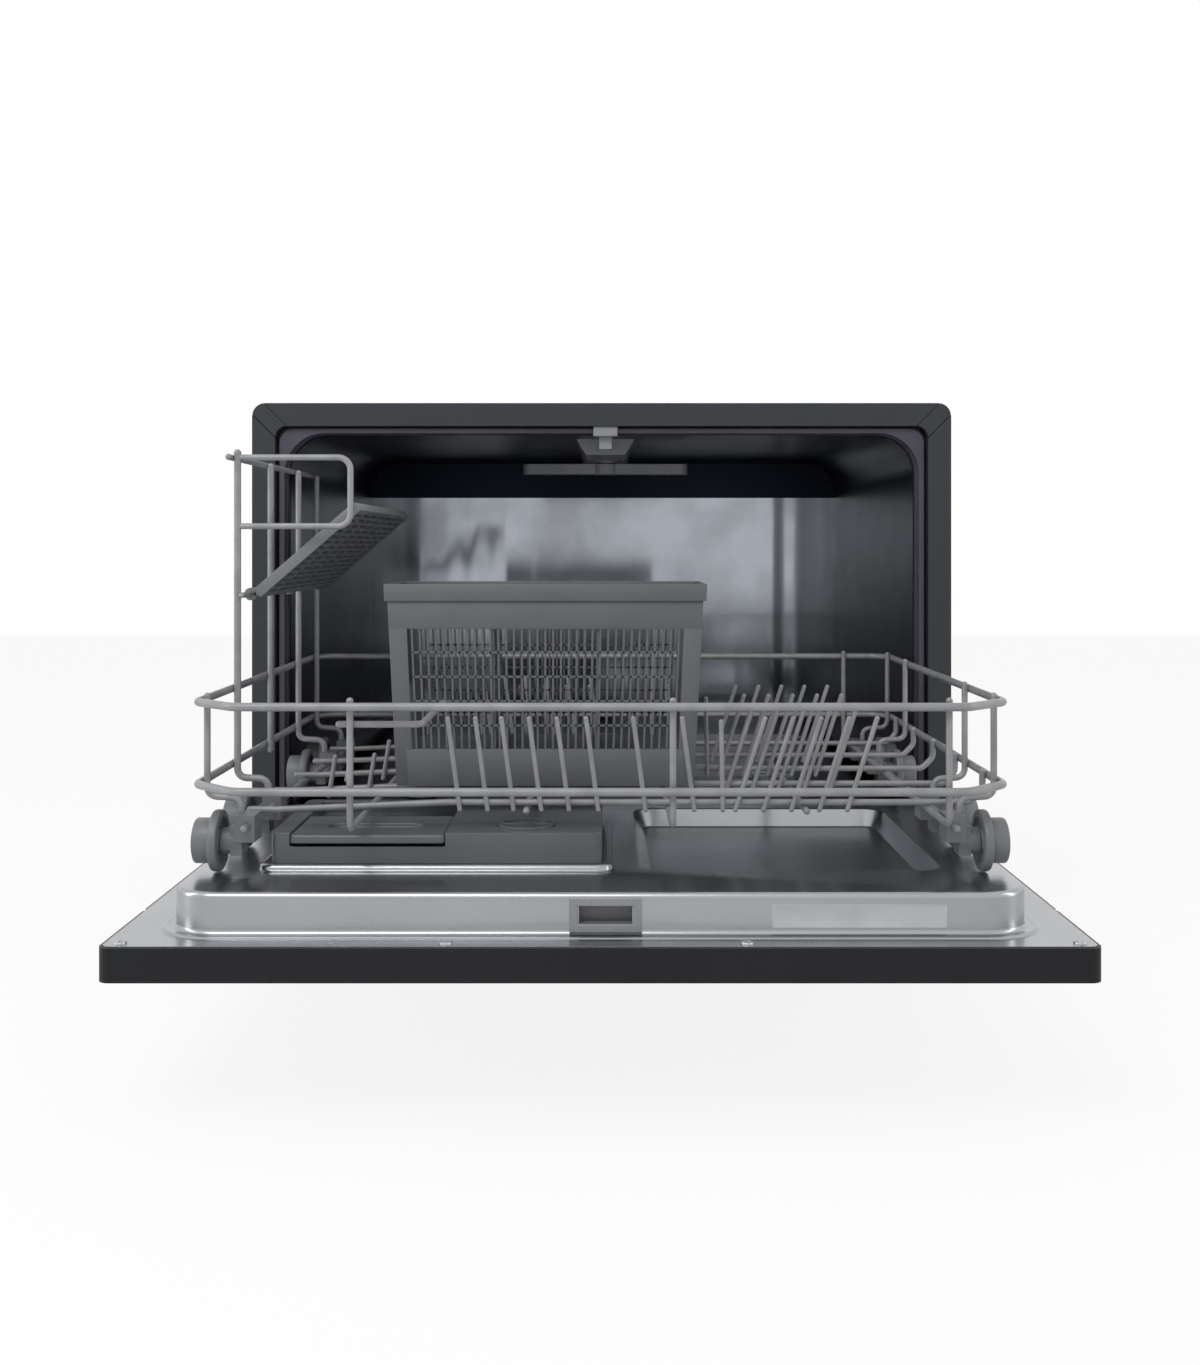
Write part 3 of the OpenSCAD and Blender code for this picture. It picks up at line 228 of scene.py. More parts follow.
BRUSHED = noise_group("brushed grain", (0.02, 1, 1), 6, 1500, 0.3, 0.7)
PEBBLE = noise_group("moulded grain", (1, 1, 1), 2, 2200, 0.25, 0.75)
MARKS = noise_group("handling marks", (1, 1, 1), 5, 22, 0.42, 0.68)
WAVES = noise_group("sheet waviness", (1, 1, 1), 0, 7, 0.2, 0.8)
print("shader groups:", [g.name for g in (BRUSHED, PEBBLE, MARKS, WAVES)])

# %% [markdown]
# ## Finishes
# A finish is one Principled shader fed by those groups. Marks change both colour and roughness a
# little, grain and waviness drive two Bump nodes. Constants, such as the coat, stay on the shader's
# own sockets. Colours were read from the photograph's evenly lit places, apart from the tub's: its
# near-black steel is painted shade, and the lighter steel of its back wall is a painted reflection.

# %% One function for every finish
GRAIN_SHARE, GRAIN_STRENGTH, WAVE_SCALE = 0.35, 0.6, 9


def tone(hex_colour):
    """A screen colour such as '3a3d40' as linear light."""
    parts = [int(hex_colour[i:i + 2], 16) / 255 for i in (0, 2, 4)]
    return tuple((c / 12.92 if c <= 0.04045 else ((c + 0.055) / 1.055) ** 2.4) for c in parts) + (1,)


def finish(name, colour, rough, metal=0.0, grain=PEBBLE, size=1500, stretch=(1, 1, 1), depth=0.02,
           marks=22, mark_shade=0.85, mark_rough=0.08, wave=0.0, wave_along=(1, 1, 1), **constants):
    made, tree, skin = material(name)
    skin.inputs["Metallic"].default_value = metal
    for label, value in constants.items():
        skin.inputs[label.replace("_", " ")].default_value = value

    def use(effect, scale, along=(1, 1, 1)):
        node = step(tree, "ShaderNodeGroup", values={"Scale": scale, "Stretch": along}, node_tree=effect)
        return node.outputs["Mask"]

    smear = use(MARKS, marks)
    fine = use(grain, size, stretch)
    base = tone(colour)
    worn = tuple(c * mark_shade for c in base[:3]) + (1,)
    tint = step(tree, "ShaderNodeMix", {"Factor": smear}, {"A": base, "B": worn}, data_type="RGBA")
    tree.links.new(tint.outputs["Result"], skin.inputs["Base Color"])
    both = step(tree, "ShaderNodeMix", {"A": smear, "B": fine}, {"Factor": GRAIN_SHARE})
    sheen = step(tree, "ShaderNodeMapRange", {"Value": both.outputs["Result"]},
                 {"To Min": max(0.02, rough - mark_rough / 2), "To Max": rough + mark_rough})
    tree.links.new(sheen.outputs["Result"], skin.inputs["Roughness"])
    bump = step(tree, "ShaderNodeBump", {"Height": fine},
                {"Strength": GRAIN_STRENGTH, "Distance": depth * MM})
    if wave:
        roll = step(tree, "ShaderNodeBump", {"Height": use(WAVES, WAVE_SCALE, wave_along)},
                    {"Distance": wave * MM})
        tree.links.new(roll.outputs["Normal"], bump.inputs["Normal"])
    tree.links.new(bump.outputs["Normal"], skin.inputs["Normal"])
    return made


print("grain share in the roughness:", GRAIN_SHARE)

# %% The finishes of this machine
ALONG_X, ALONG_UP, STREAKS = (0.015, 1, 1), (1, 1, 0.015), (5, 5, 0.2)
STEEL = dict(metal=1.0, grain=BRUSHED)
PAINT = dict(mark_shade=0.97, mark_rough=0.03)
LOOKS = {
    "pressed_steel": dict(STEEL, colour="a6a8ab", rough=0.25, size=1300, stretch=ALONG_X, depth=0.002,
                          marks=16, mark_shade=0.96, mark_rough=0.03, wave=0.02),
    # The tub's steel is near-black, far darker than real stainless: painted shade for the dim inside of the
    # cavity.
    "tub_steel": dict(STEEL, colour="1c1f28", rough=0.32, size=900, stretch=ALONG_X, depth=0.003,
                      marks=12, mark_shade=0.92, mark_rough=0.03, wave=0.1),
    # A lighter copy of the tub's steel for the lower back wall, with streaky waviness: a painted reflection
    # of the bright room.
    "tub_mirror": dict(STEEL, colour="a4a8b0", rough=0.12, size=900, stretch=ALONG_UP, depth=0.003,
                       marks=12, mark_shade=0.75, mark_rough=0.05, wave=0.5, wave_along=STREAKS),
    "zinc": dict(colour="b4b6b8", rough=0.38, metal=1.0, size=500),
    "casing_paint": dict(PAINT, colour="33363a", rough=0.42, size=900, depth=0.03, Specular_IOR_Level=0.3),
    "frame_paint": dict(PAINT, colour="34373b", rough=0.36, size=1400, depth=0.012,
                        Specular_IOR_Level=0.25),
    "edge_black": dict(colour="212225", rough=0.4, size=1800, mark_shade=0.92, mark_rough=0.03,
                       Specular_IOR_Level=0.15),
    "rubber_lip": dict(colour="4d4a55", rough=0.55, size=900, Specular_IOR_Level=0.3),
    "foot_rubber": dict(colour="26272a", rough=0.7, size=700, depth=0.04),
    "coated_wire": dict(colour="8c8d8f", rough=0.36, size=320, depth=0.05, marks=60, mark_shade=0.8,
                        Coat_Weight=0.25, Coat_Roughness=0.25),
    "basket_grey": dict(colour="5e6063", rough=0.42, mark_shade=0.88),
    "shelf_grey": dict(colour="727477", rough=0.4, mark_shade=0.88),
    "wheel_grey": dict(colour="6f7173", rough=0.4, size=1200),
    "dispenser_grey": dict(colour="5c5f62", rough=0.34, mark_shade=0.88,
                           Coat_Weight=0.15, Coat_Roughness=0.3),
    "hook_grey": dict(colour="8a8c90", rough=0.4),
    "clear_grey": dict(colour="85878a", rough=0.3, size=900, depth=0.03, Coat_Weight=0.4,
                       Coat_Roughness=0.2),
    "pale_plastic": dict(colour="d6d8da", rough=0.4),
    "blue_plastic": dict(colour="3f5f94", rough=0.38),
    "motor_paint": dict(colour="4a4d52", rough=0.45, size=900, depth=0.03),
    "smoked_window": dict(colour="0c0d10", rough=0.08, size=900, depth=0.001, mark_rough=0.05,
                          Coat_Weight=0.6, Coat_Roughness=0.05),
    "button_grey": dict(colour="87898d", rough=0.35, size=1800, depth=0.015),
    "circuit_green": dict(colour="1d4d2c", rough=0.3, size=600),
    "plate_foil": dict(colour="bfc1c4", rough=0.5, metal=0.2, grain=BRUSHED, size=1600,
                       stretch=ALONG_X, depth=0.004),
    "pocket_grey": dict(colour="77787a", rough=0.35, size=900, depth=0.03),
}
FINISH = {name: finish(name, **settings) for name, settings in LOOKS.items()}
print(len(FINISH), "finishes")

# %% Give every CAD node its finish
WEARS = {
    "pressed_steel": ["door_inner_panel", "filter_plate", "door_screws"],
    # The tub wears the near-black steel, which is painted shade.
    "tub_steel": ["tub"],
    "zinc": ["hinge_brackets", "hinge_arms", "door_springs", "heater"],
    "casing_paint": ["side_panel_left", "side_panel_right", "top_panel", "back_panel", "door_outer_panel"],
    "frame_paint": ["front_frame", "frame_corners"],
    "edge_black": ["control_panel", "kick_plate", "base_tray", "water_pipes", "drain_spigot", "cord_gland"],
    "rubber_lip": ["tub_gasket"],
    "foot_rubber": ["feet"],
    "coated_wire": ["rack_rails", "rack_wires", "rack_tines"],
    "basket_grey": ["cutlery_basket"],
    "shelf_grey": ["cup_shelf"],
    "wheel_grey": ["wheel_brackets"] + [f"wheel_{i}" for i in range(1, 9)],
    "dispenser_grey": ["dispenser_body", "detergent_lid", "rinse_aid_cap"],
    "hook_grey": ["latch_hook", "spray_duct", "upper_spray_arm", "lower_spray_arm", "filter_cup",
                  "float_cap", "sump"],
    "clear_grey": ["latch_window"],
    "pale_plastic": ["softener_tank", "inlet_valve", "air_break"],
    "blue_plastic": ["softener_cap"],
    "motor_paint": ["circulation_pump", "drain_pump"],
    "smoked_window": ["display_window"],
    "button_grey": ["power_button", "program_button", "delay_button", "start_button"],
    "circuit_green": ["control_board"],
}
for look, members in WEARS.items():
    for member in members:
        nodes[member].data.materials.clear()
        nodes[member].data.materials.append(FINISH[look])
LOOK_OF = {member: look for look, members in WEARS.items() for member in members}
BODY_OF = {n: b for b, ns in frame["record"]["behaviour"]["bodies"].items() for n in ns}
SLOT_OF = {s["node"]: s["material_slot"] for s in frame["record"]["subparts"]}
print("nodes without a finish:", sorted(set(nodes) - set(LOOK_OF)))

# %% [markdown]
# ## Hard edges catch no light
# A CAD solid has knife edges. Moulded and folded parts have a small radius there, and it is that
# radius which shows as a bright line. The CAD mesh may not change, so each shown part is copied,
# its flat triangles are joined into whole faces, its edges get a small bevel, and the copy stands in.

# %% Seating a finished mesh
def settle(mesh, crease=32):
    """Smooth shading with sharp edges kept past the crease angle."""
    mesh.polygons.foreach_set("use_smooth", [True] * len(mesh.polygons))
    mesh.set_sharp_from_angle(angle=math.radians(crease))
    mesh.update()


def seat(name, mesh, look, body, stands_for=(), slot=None, crease=32):
    """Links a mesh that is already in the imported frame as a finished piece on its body."""
    if not mesh.materials:
        mesh.materials.append(FINISH[look])
    settle(mesh, crease)
    thing = put(name, mesh)
    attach(thing, body)
    if stands_for:
        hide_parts(*stands_for)
        slot = slot or SLOT_OF[stands_for[0]]
    return thing


def stand_in(name, mesh, *stands_for, crease=32):
    """Seats a mesh in place of CAD nodes, with the first one's finish and body."""
    first = stands_for[0]
    return seat(name, mesh, LOOK_OF[first], BODY_OF[first], stands_for, crease=crease)


def plain(holder):
    """The holder's mesh after its modifiers; the holder and its modifiers are removed."""
    name = holder.name
    bpy.context.view_layer.update()
    done = bpy.data.meshes.new_from_object(holder.evaluated_get(bpy.context.evaluated_depsgraph_get()))
    holder.modifiers.clear()
    bpy.data.objects.remove(holder)
    done.name = name
    return done


def baked(name, mesh, modifiers):
    """The mesh after the given modifiers, as a plain mesh."""
    holder = put(name, mesh)
    for kind, settings in modifiers:
        modifier = holder.modifiers.new(kind, kind)
        for key, value in settings.items():
            setattr(modifier, key, value)
    return plain(holder)


print("bodies that can be ridden:", len(set(BODY_OF.values())))

# %% Softened copies of CAD parts
def softened(node, radius, cuts=()):
    """A copy of a CAD part with whole faces, cut along the given planes, and a small bevel."""
    mesh = nodes[node].data.copy()
    work = bmesh.new()
    work.from_mesh(mesh)
    bmesh.ops.remove_doubles(work, verts=work.verts, dist=2e-6)
    bmesh.ops.dissolve_limit(work, angle_limit=math.radians(0.6), verts=work.verts, edges=work.edges)
    for point, normal in cuts:
        whole = list(work.verts) + list(work.edges) + list(work.faces)
        bmesh.ops.bisect_plane(work, geom=whole, plane_co=point, plane_no=normal)
    work.to_mesh(mesh)
    work.free()
    for attribute in [a.name for a in mesh.attributes if a.name in ("sharp_face", "custom_normal")]:
        mesh.attributes.remove(mesh.attributes[attribute])
    bevel = dict(width=radius * MM, segments=2, limit_method="ANGLE",
                 angle_limit=math.radians(40))
    mesh = baked("soft_" + node, mesh, [("BEVEL", bevel), ("WEIGHTED_NORMAL", dict(keep_sharp=True))])
    return stand_in("soft_" + node, mesh, node, crease=50)


def dress_where(thing, look, chosen):
    """Gives the chosen faces of a piece a second finish."""
    thing.data.materials.append(FINISH[look])
    for face in thing.data.polygons:
        if chosen(face):
            face.material_index = len(thing.data.materials) - 1


SOFT_EDGES = {
    "front_frame": 1.0, "frame_corners": 0.5, "side_panel_left": 0.5, "side_panel_right": 0.5,
    "top_panel": 0.5, "back_panel": 0.5, "kick_plate": 0.8, "base_tray": 0.6, "feet": 1.2,
    "tub_gasket": 1.4, "door_outer_panel": 0.8, "control_panel": 1.0, "latch_window": 0.7,
    "latch_hook": 0.6, "spray_duct": 0.9, "upper_spray_arm": 1.5, "lower_spray_arm": 2.0,
    "dispenser_body": 1.6, "rinse_aid_cap": 0.3, "wheel_brackets": 0.8,
    "power_button": 0.4, "program_button": 0.4, "delay_button": 0.4, "start_button": 0.4,
    "display_window": 0.2, "filter_cup": 0.5, "softener_cap": 0.8, "float_cap": 1.0,
    "inlet_valve": 0.6, "drain_spigot": 0.5, "cord_gland": 0.8, "hinge_brackets": 0.4,
}
soft_parts = {node: softened(node, radius) for node, radius in SOFT_EDGES.items()}
# The tub is cut at BRIGHT_TOP so that its back wall below that height takes the lighter steel, a painted
# reflection; the rest keeps the near-black steel, which is painted shade.
TUB_BACK, BRIGHT_TOP = 420.0, 377.0
tub_shell = softened("tub", 0.5, cuts=[(spot(0, 0, BRIGHT_TOP), (0, 0, 1))])
bright = spot(0, TUB_BACK - 3, BRIGHT_TOP)
dress_where(tub_shell, "tub_mirror", lambda face: face.center.y > bright.y and face.center.z < bright.z)
print(len(soft_parts), "softened parts,", sum(len(o.data.polygons) for o in soft_parts.values()), "faces")

# %% [markdown]
# ## Outlines that can be lofted
# Pressed sheet is a family of rounded rectangles, each a little inside the last, rising along a
# profile. If every outline has the same number of points, rings at given offsets and heights join into
# clean strips of quads, and the fillets come from the profile alone.

# %% Rings, strips and plates
def outline(x0, x1, y0, y1, radius, steps=10):
    """Points of a rounded rectangle, anticlockwise, the same count for any size."""
    radius = max(radius, 0.05)
    points = []
    for cx, cy, start in ((x1 - radius, y0 + radius, -90), (x1 - radius, y1 - radius, 0),
                          (x0 + radius, y1 - radius, 90), (x0 + radius, y0 + radius, 180)):
        for i in range(steps + 1):
            a = math.radians(start + 90 * i / steps)
            points.append((cx + radius * math.cos(a), cy + radius * math.sin(a)))
    return points


def grown(rect, radius, offset):
    """The rounded rectangle moved outwards by offset."""
    x0, x1, y0, y1 = rect
    return outline(x0 - offset, x1 + offset, y0 - offset, y1 + offset, radius + offset)


def ring(work, points, z):
    return [work.verts.new((x, y, z)) for x, y in points]


def strip(work, lower, upper):
    count = len(lower)
    for i in range(count):
        j = (i + 1) % count
        work.faces.new((lower[i], lower[j], upper[j], upper[i]))


def rise(work, rect, radius, profile):
    """Strips through (offset, height) pairs; returns the first and last ring."""
    rings = [ring(work, grown(rect, radius, offset), z) for offset, z in profile]
    for lower, upper in zip(rings, rings[1:]):
        strip(work, lower, upper)
    return rings[0], rings[-1]


def arc(cx, cz, r, start, end, steps=6):
    """(offset, height) pairs round a fillet's centre."""
    turns = [math.radians(start + (end - start) * i / steps) for i in range(steps + 1)]
    return [(cx + r * math.cos(a), cz + r * math.sin(a)) for a in turns]


def plate(work, rings):
    """Fills the flat region between the first ring and the others, which are its holes."""
    edges = []
    for loop in rings:
        for pair in zip(loop, loop[1:] + loop[:1]):
            edges.append(work.edges.get(pair) or work.edges.new(pair))
    bmesh.ops.triangle_fill(work, use_beauty=True, use_dissolve=False, edges=edges, normal=(0, 0, 1))


def upright(work, up=(0, 0, 1)):
    """Turns the whole skin over if its flat faces look down."""
    work.normal_update()
    if sum(f.normal.dot(Vector(up)) * f.calc_area() for f in work.faces) < 0:
        bmesh.ops.reverse_faces(work, faces=work.faces)


def mesh_of(work, name, place=TO_FRAME, closed=False):
    """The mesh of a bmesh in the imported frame; a closed skin's faces are turned outwards."""
    if closed:
        bmesh.ops.recalc_face_normals(work, faces=work.faces)
    bmesh.ops.transform(work, matrix=place, verts=work.verts)
    mesh = bpy.data.meshes.new(name)
    work.to_mesh(mesh)
    work.free()
    return mesh


def block(work, corner, size, place=Matrix()):
    """A box with the given lowest corner and size."""
    made = bmesh.ops.create_cube(work, size=1)["verts"]
    middle = Matrix.Translation(Vector(corner) + Vector(size) / 2)
    bmesh.ops.transform(work, matrix=place @ middle @ Matrix.Diagonal((*size, 1)), verts=made)


print("a ring has", len(outline(0, 10, 0, 10, 2)), "points")

# %% [markdown]
# ## The door's pressed inner sheet
# This is the largest bright surface in the picture. On the real door it is one steel pressing: a flat
# flange, a small bead, a wall that turns over into the plateau, a raised rim round the dispenser and
# a shallow recess beside it. Lofted rings give each turn its own radius, and a Solidify gives the
# sheet its thickness, inwards, so that it keeps the CAD's outside size.

# %% Loft the door pressing
PLATEAU = (-245, 245, DOOR_EDGE + 24, HINGE_Y - 29)
SURROUND = (-207, 9, DOOR_EDGE + 75, DOOR_EDGE + 205)
DISPENSER = (-199.3, 1.3, DOOR_EDGE + 82.7, DOOR_EDGE + 197.3)
RECESS = (22, 208, DOOR_EDGE + 80, HINGE_Y - 53)
POCKET_W, POCKET_H, POCKET_D, POCKET_Z = 30.0, 10.0, 9.0, 113.8
SHEET = 0.6


def door_pressing():
    work = bmesh.new()
    flange = ring(work, outline(-273.1, 273.1, DOOR_EDGE + 2, HINGE_Y - 6, 5), FLANGE_Z)
    bead = [(9, FLANGE_Z)] + arc(6.5, FLANGE_Z - 1.4, 2.6, 32, 90, 3) + [(4.2, FLANGE_Z + 0.6)]
    foot = arc(2.6, FLANGE_Z + 3.2, 2.6, 262, 180, 5)
    shoulder = arc(-3.2, PLATEAU_Z - 3.2, 3.2, 0, 90, 6)
    low, top = rise(work, PLATEAU, 28, bead + foot + shoulder)
    strip(work, flange, low)
    hollow = arc(0, PLATEAU_Z + 2, 2, 270, 215, 3)
    crown = arc(-4.2, PLATEAU_Z + 1.2, 2.8, 20, 90, 4)
    rim_foot, rim_top = rise(work, SURROUND, 11, [(0, PLATEAU_Z)] + hollow + crown)
    lip = ring(work, grown(DISPENSER, 5, 0.6), PLATEAU_Z + 4)
    strip(work, rim_top, lip)
    strip(work, lip, ring(work, grown(DISPENSER, 5, 0), PLATEAU_Z + 3.4))
    dip = arc(0, PLATEAU_Z - 2.5, 2.5, 90, 130, 3) + arc(-10, PLATEAU_Z - 8.6, 3.4, 310, 270, 4)
    dip_edge, dip_floor = rise(work, RECESS, 16, dip)
    plate(work, [top, rim_foot, dip_edge])
    plate(work, [dip_floor])
    upright(work)
    mesh = mesh_of(work, "door_pressing")
    punch = bmesh.new()
    block(punch, (LATCH_X - POCKET_W / 2, PLATEAU[2] - 4, POCKET_Z), (POCKET_W, 8, POCKET_H))
    tool = put("punch", mesh_of(punch, "punch"))
    mesh = baked("door_pressing", mesh, [("SOLIDIFY", dict(thickness=SHEET * MM, offset=-1)),
                                         ("BOOLEAN", dict(object=tool, solver="EXACT")),
                                         ("WEIGHTED_NORMAL", dict(keep_sharp=True))])
    bpy.data.objects.remove(tool)
    return mesh


def latch_pocket():
    """The open box behind the latch window, which the hook enters when the door is shut."""
    work = bmesh.new()
    x0, x1, z1 = LATCH_X - POCKET_W / 2, LATCH_X + POCKET_W / 2, POCKET_Z + POCKET_H
    front, wall = PLATEAU[2], 0.8
    start, full_w = front + 0.7, POCKET_W + 2 * wall
    block(work, (x0 - wall, front + POCKET_D, POCKET_Z - wall), (full_w, wall, POCKET_H + 2 * wall))
    for z in (POCKET_Z - wall, z1):
        block(work, (x0 - wall, start, z), (full_w, POCKET_D, wall))
    for x in (x0 - wall, x1):
        block(work, (x, start, POCKET_Z), (wall, POCKET_D, POCKET_H))
    return mesh_of(work, "latch_pocket")


pressing = stand_in("door_pressing", door_pressing(), "door_inner_panel", crease=50)
seat("latch_pocket", latch_pocket(), "pocket_grey", "door", slot="grey_plastic")
print("door pressing:", len(pressing.data.polygons), "faces")

# %% [markdown]
# ## The detergent lid
# The sliding lid is a thin tile with a finger dish, and a dark gap shows under its front edge. The
# same rings as the door's make its rounded rim and the dish's soft fillets.

# %% Loft the lid with its finger dish
LID = (-187.0, -94.0, DOOR_EDGE + 81, DOOR_EDGE + 143)
DISH = (-169.0, -111.0, DOOR_EDGE + 103, DOOR_EDGE + 119)
LID_TOP, LID_FOOT = 152.0, 146.8


def lid_tile():
    work = bmesh.new()
    rim = [(-0.6, LID_FOOT), (0, LID_FOOT + 0.6)] + arc(-1.6, LID_TOP - 1.6, 1.6, 0, 90, 5)
    low, top = rise(work, LID, 3, rim)
    edge = arc(1.2, LID_TOP - 1.2, 1.2, 90, 180, 4) + arc(-1.5, LID_TOP - 1.4, 1.5, 0, -90, 5)
    dish_edge, dish_floor = rise(work, DISH, 7.5, edge)
    plate(work, [top, dish_edge])
    plate(work, [dish_floor])
    plate(work, [low])
    return mesh_of(work, "lid_tile", closed=True)


lid = stand_in("lid_tile", lid_tile(), "detergent_lid")
print("lid:", len(lid.data.polygons), "faces")

# %% [markdown]
# ## The bare rating plate
# A foil plate sits on the plateau's front wall. It stays bare: only its raised border is modelled.

# %% Rating plate
def thin_plate(x0, x1, y, z0, z1, proud, border):
    work = bmesh.new()
    steps = [(0, 0), (0, -proud), (-border, -proud), (-border - 0.3, -proud * 0.55)]
    rings = []
    for offset, depth in steps:
        edge = grown((x0, x1, z0, z1), 1.2, offset)
        rings.append([work.verts.new((px, y + depth, pz)) for px, pz in edge])
    for lower, upper in zip(rings, rings[1:]):
        strip(work, lower, upper)
    work.faces.new(rings[-1])
    work.faces.new(rings[0][::-1])
    return mesh_of(work, "rating_plate", closed=True)


bare_plate = thin_plate(96.4, 194.6, PLATEAU[2] - 0.02, 111.6, 124.6, proud=0.35, border=0.7)
seat("rating_plate", bare_plate, "plate_foil", "door", slot="stainless")
print("rating plate placed on the front wall")

# %% [markdown]
# ## Wire, bent and dipped
# The rack is the main piece that follows a rule: round wire along paths, then a nylon dip that rounds
# every cut end. The paths are lists of points with a bend radius, as a wire bender is programmed.
# One Geometry Nodes tree turns the paths into tubes and puts a drop of coating on each end.

# %% Paths of the rack's wires
def bent(points, bend, closed=False, steps=6):
    """The points with each corner replaced by an arc of the bend radius."""
    points = [Vector(p) for p in points]
    count = len(points)
    path = []
    for i, corner in enumerate(points):
        if not closed and i in (0, count - 1):
            path.append(corner)
            continue
        u = (corner - points[i - 1]).normalized()
        v = (points[(i + 1) % count] - corner).normalized()
        turn = u.angle(v)
        if turn < 0.02:
            path.append(corner)
            continue
        reach = bend * math.tan(turn / 2)
        axis = u.cross(v).normalized()
        start = corner - u * reach
        centre = start + axis.cross(u) * bend
        for k in range(steps + 1):
            path.append(centre + Matrix.Rotation(turn * k / steps, 3, axis) @ (start - centre))
    return path


RAIL_R, WIRE_R, TINE_R, POST_R, RUNNER_R, PIVOT_R = 2.5, 2.0, 1.5, 2.3, 2.2, 1.8
TOP_RAIL, LOW_RAIL, RUNNER_X, RUNNER_Z = 233.0, 184.0, 210.0, AXLE_Z + 9.4
FLOOR_WIRE_Z = RUNNER_Z + 8.7
FLOOR_Y = [FRONT_RAIL + d for d in (59, 129, 194, 259, 324)]
UPRIGHT_X = RACK_HALF - RAIL_R - WIRE_R - 0.05
POST_X = RACK_HALF - RAIL_R - POST_R - 0.05
POST_TOP, LOW_GUARD, GUARD_X = 386.0, 338.5, -162.0
SHELF_PIVOT = (-POST_X + POST_R + PIVOT_R + 0.05, 294.0)
LEFT_DROP, LEFT_Z = -95.0, RUNNER_Z + RUNNER_R + WIRE_R + 0.05
wires = []


def add_wire(points, r, bend=6, closed=False):
    wires.append((bent(points, bend, closed), r, closed))


def floor_height(x):
    if x > LEFT_DROP:
        return FLOOR_WIRE_Z
    share = (x + RUNNER_X - 12) / (LEFT_DROP + RUNNER_X - 12)
    return LEFT_Z + share * (FLOOR_WIRE_Z - LEFT_Z)


def long_height(x):
    return floor_height(x) - 2 * WIRE_R - 0.05 - (0.3 if x < LEFT_DROP else 0)


rail_path = [(-212, FRONT_RAIL), (212, FRONT_RAIL), (RACK_HALF, FRONT_RAIL + 27),
             (RACK_HALF, REAR_RAIL - 12), (228, REAR_RAIL), (-228, REAR_RAIL),
             (-RACK_HALF, REAR_RAIL - 12), (-RACK_HALF, FRONT_RAIL + 27)]
for z in (TOP_RAIL, LOW_RAIL):
    add_wire([(x, y, z) for x, y in rail_path], RAIL_R, 12, True)
for side, y, top, r in ([(1, y, TOP_RAIL + 3, WIRE_R) for y in WHEEL_Y]
                        + [(-1, WHEEL_Y[0], TOP_RAIL + 3, WIRE_R), (-1, WHEEL_Y[1], POST_TOP, POST_R),
                           (-1, WHEEL_Y[2], POST_TOP - 4, POST_R), (-1, WHEEL_Y[3], POST_TOP - 4, POST_R)]):
    x = side * (RACK_HALF - RAIL_R - r - 0.05)
    add_wire([(x, y, top), (x, y, LOW_RAIL - 8), (side * 215, y, RUNNER_Z + 16),
              (side * 215, y, RUNNER_Z + 6.5)], r, 6)
add_wire([(-POST_X, WHEEL_Y[1] + 93, LOW_RAIL - 3), (-POST_X, WHEEL_Y[1] + 93, POST_TOP - 4)], POST_R)
pivot_x, pivot_z = SHELF_PIVOT
add_wire([(pivot_x, WHEEL_Y[1] - 6, pivot_z), (pivot_x, WHEEL_Y[3] + 6, pivot_z)], PIVOT_R)
for side in (-1, 1):
    add_wire([(side * RUNNER_X, WHEEL_Y[0] - 14, RUNNER_Z), (side * RUNNER_X, WHEEL_Y[3] + 12, RUNNER_Z)],
             RUNNER_R)
for y in FLOOR_Y:
    add_wire([(-RUNNER_X - 6, y, LEFT_Z), (-RUNNER_X + 12, y, LEFT_Z), (LEFT_DROP, y, FLOOR_WIRE_Z),
              (UPRIGHT_X - 8, y, FLOOR_WIRE_Z), (UPRIGHT_X, y, FLOOR_WIRE_Z + 8),
              (UPRIGHT_X, y, LOW_RAIL + 3)], WIRE_R, 7)
near, far = FRONT_RAIL + RAIL_R + WIRE_R, REAR_RAIL - RAIL_R - WIRE_R
for x in (-145, 42, 202):
    add_wire([(x, near, TOP_RAIL + 3), (x, near, long_height(x)), (x, far, long_height(x)),
              (x, far, TOP_RAIL + 3)], WIRE_R, 7)
for x in (-45.5, 126):
    add_wire([(x, FLOOR_Y[0] - 8, long_height(x)), (x, FLOOR_Y[4] + 8, long_height(x))], WIRE_R)
add_wire([(-POST_X + POST_R, WHEEL_Y[1], POST_TOP - 3), (GUARD_X, WHEEL_Y[1], POST_TOP - 3),
          (GUARD_X, WHEEL_Y[1], LOW_GUARD), (-POST_X + POST_R, WHEEL_Y[1], LOW_GUARD)], WIRE_R, 8)
outer_guard = -POST_X - POST_R - WIRE_R
add_wire([(outer_guard, WHEEL_Y[1] - 6, POST_TOP - 3), (outer_guard, WHEEL_Y[3] + 6, POST_TOP - 3)], WIRE_R)
add_wire([(-152, near + 2 * WIRE_R, 222), (-104, near + 2 * WIRE_R, 222),
          (-100, FRONT_RAIL + 86, 226)], WIRE_R, 5)
print(len(wires), "bent wires")

# %% Paths of the tines
MIDDLE_X = [-87, -70, -54, -37, -20, -2, 27, 57]


def add_tine(x, y, lean, height):
    base, side_y = floor_height(x), y - WIRE_R - TINE_R
    wires.append(([Vector((x - lean * 0.07, side_y, base - WIRE_R - 2)),
                   Vector((x + lean, side_y, base + height))], TINE_R, False))


for y in FLOOR_Y[:4]:
    for i in range(5):
        add_tine(84 + i * 17.2, y, 17, 52)
for y in (FLOOR_Y[0], FLOOR_Y[3], FLOOR_Y[4]):
    for x in MIDDLE_X:
        add_tine(x, y, -7, 52)
for y in FLOOR_Y[1:3]:
    for x in (-180, -154):
        add_tine(x, y, 4, 22)
for y in (FLOOR_Y[0], FLOOR_Y[2]):
    add_tine(75, y, -1, 50)
print(len(wires), "wires with the tines")

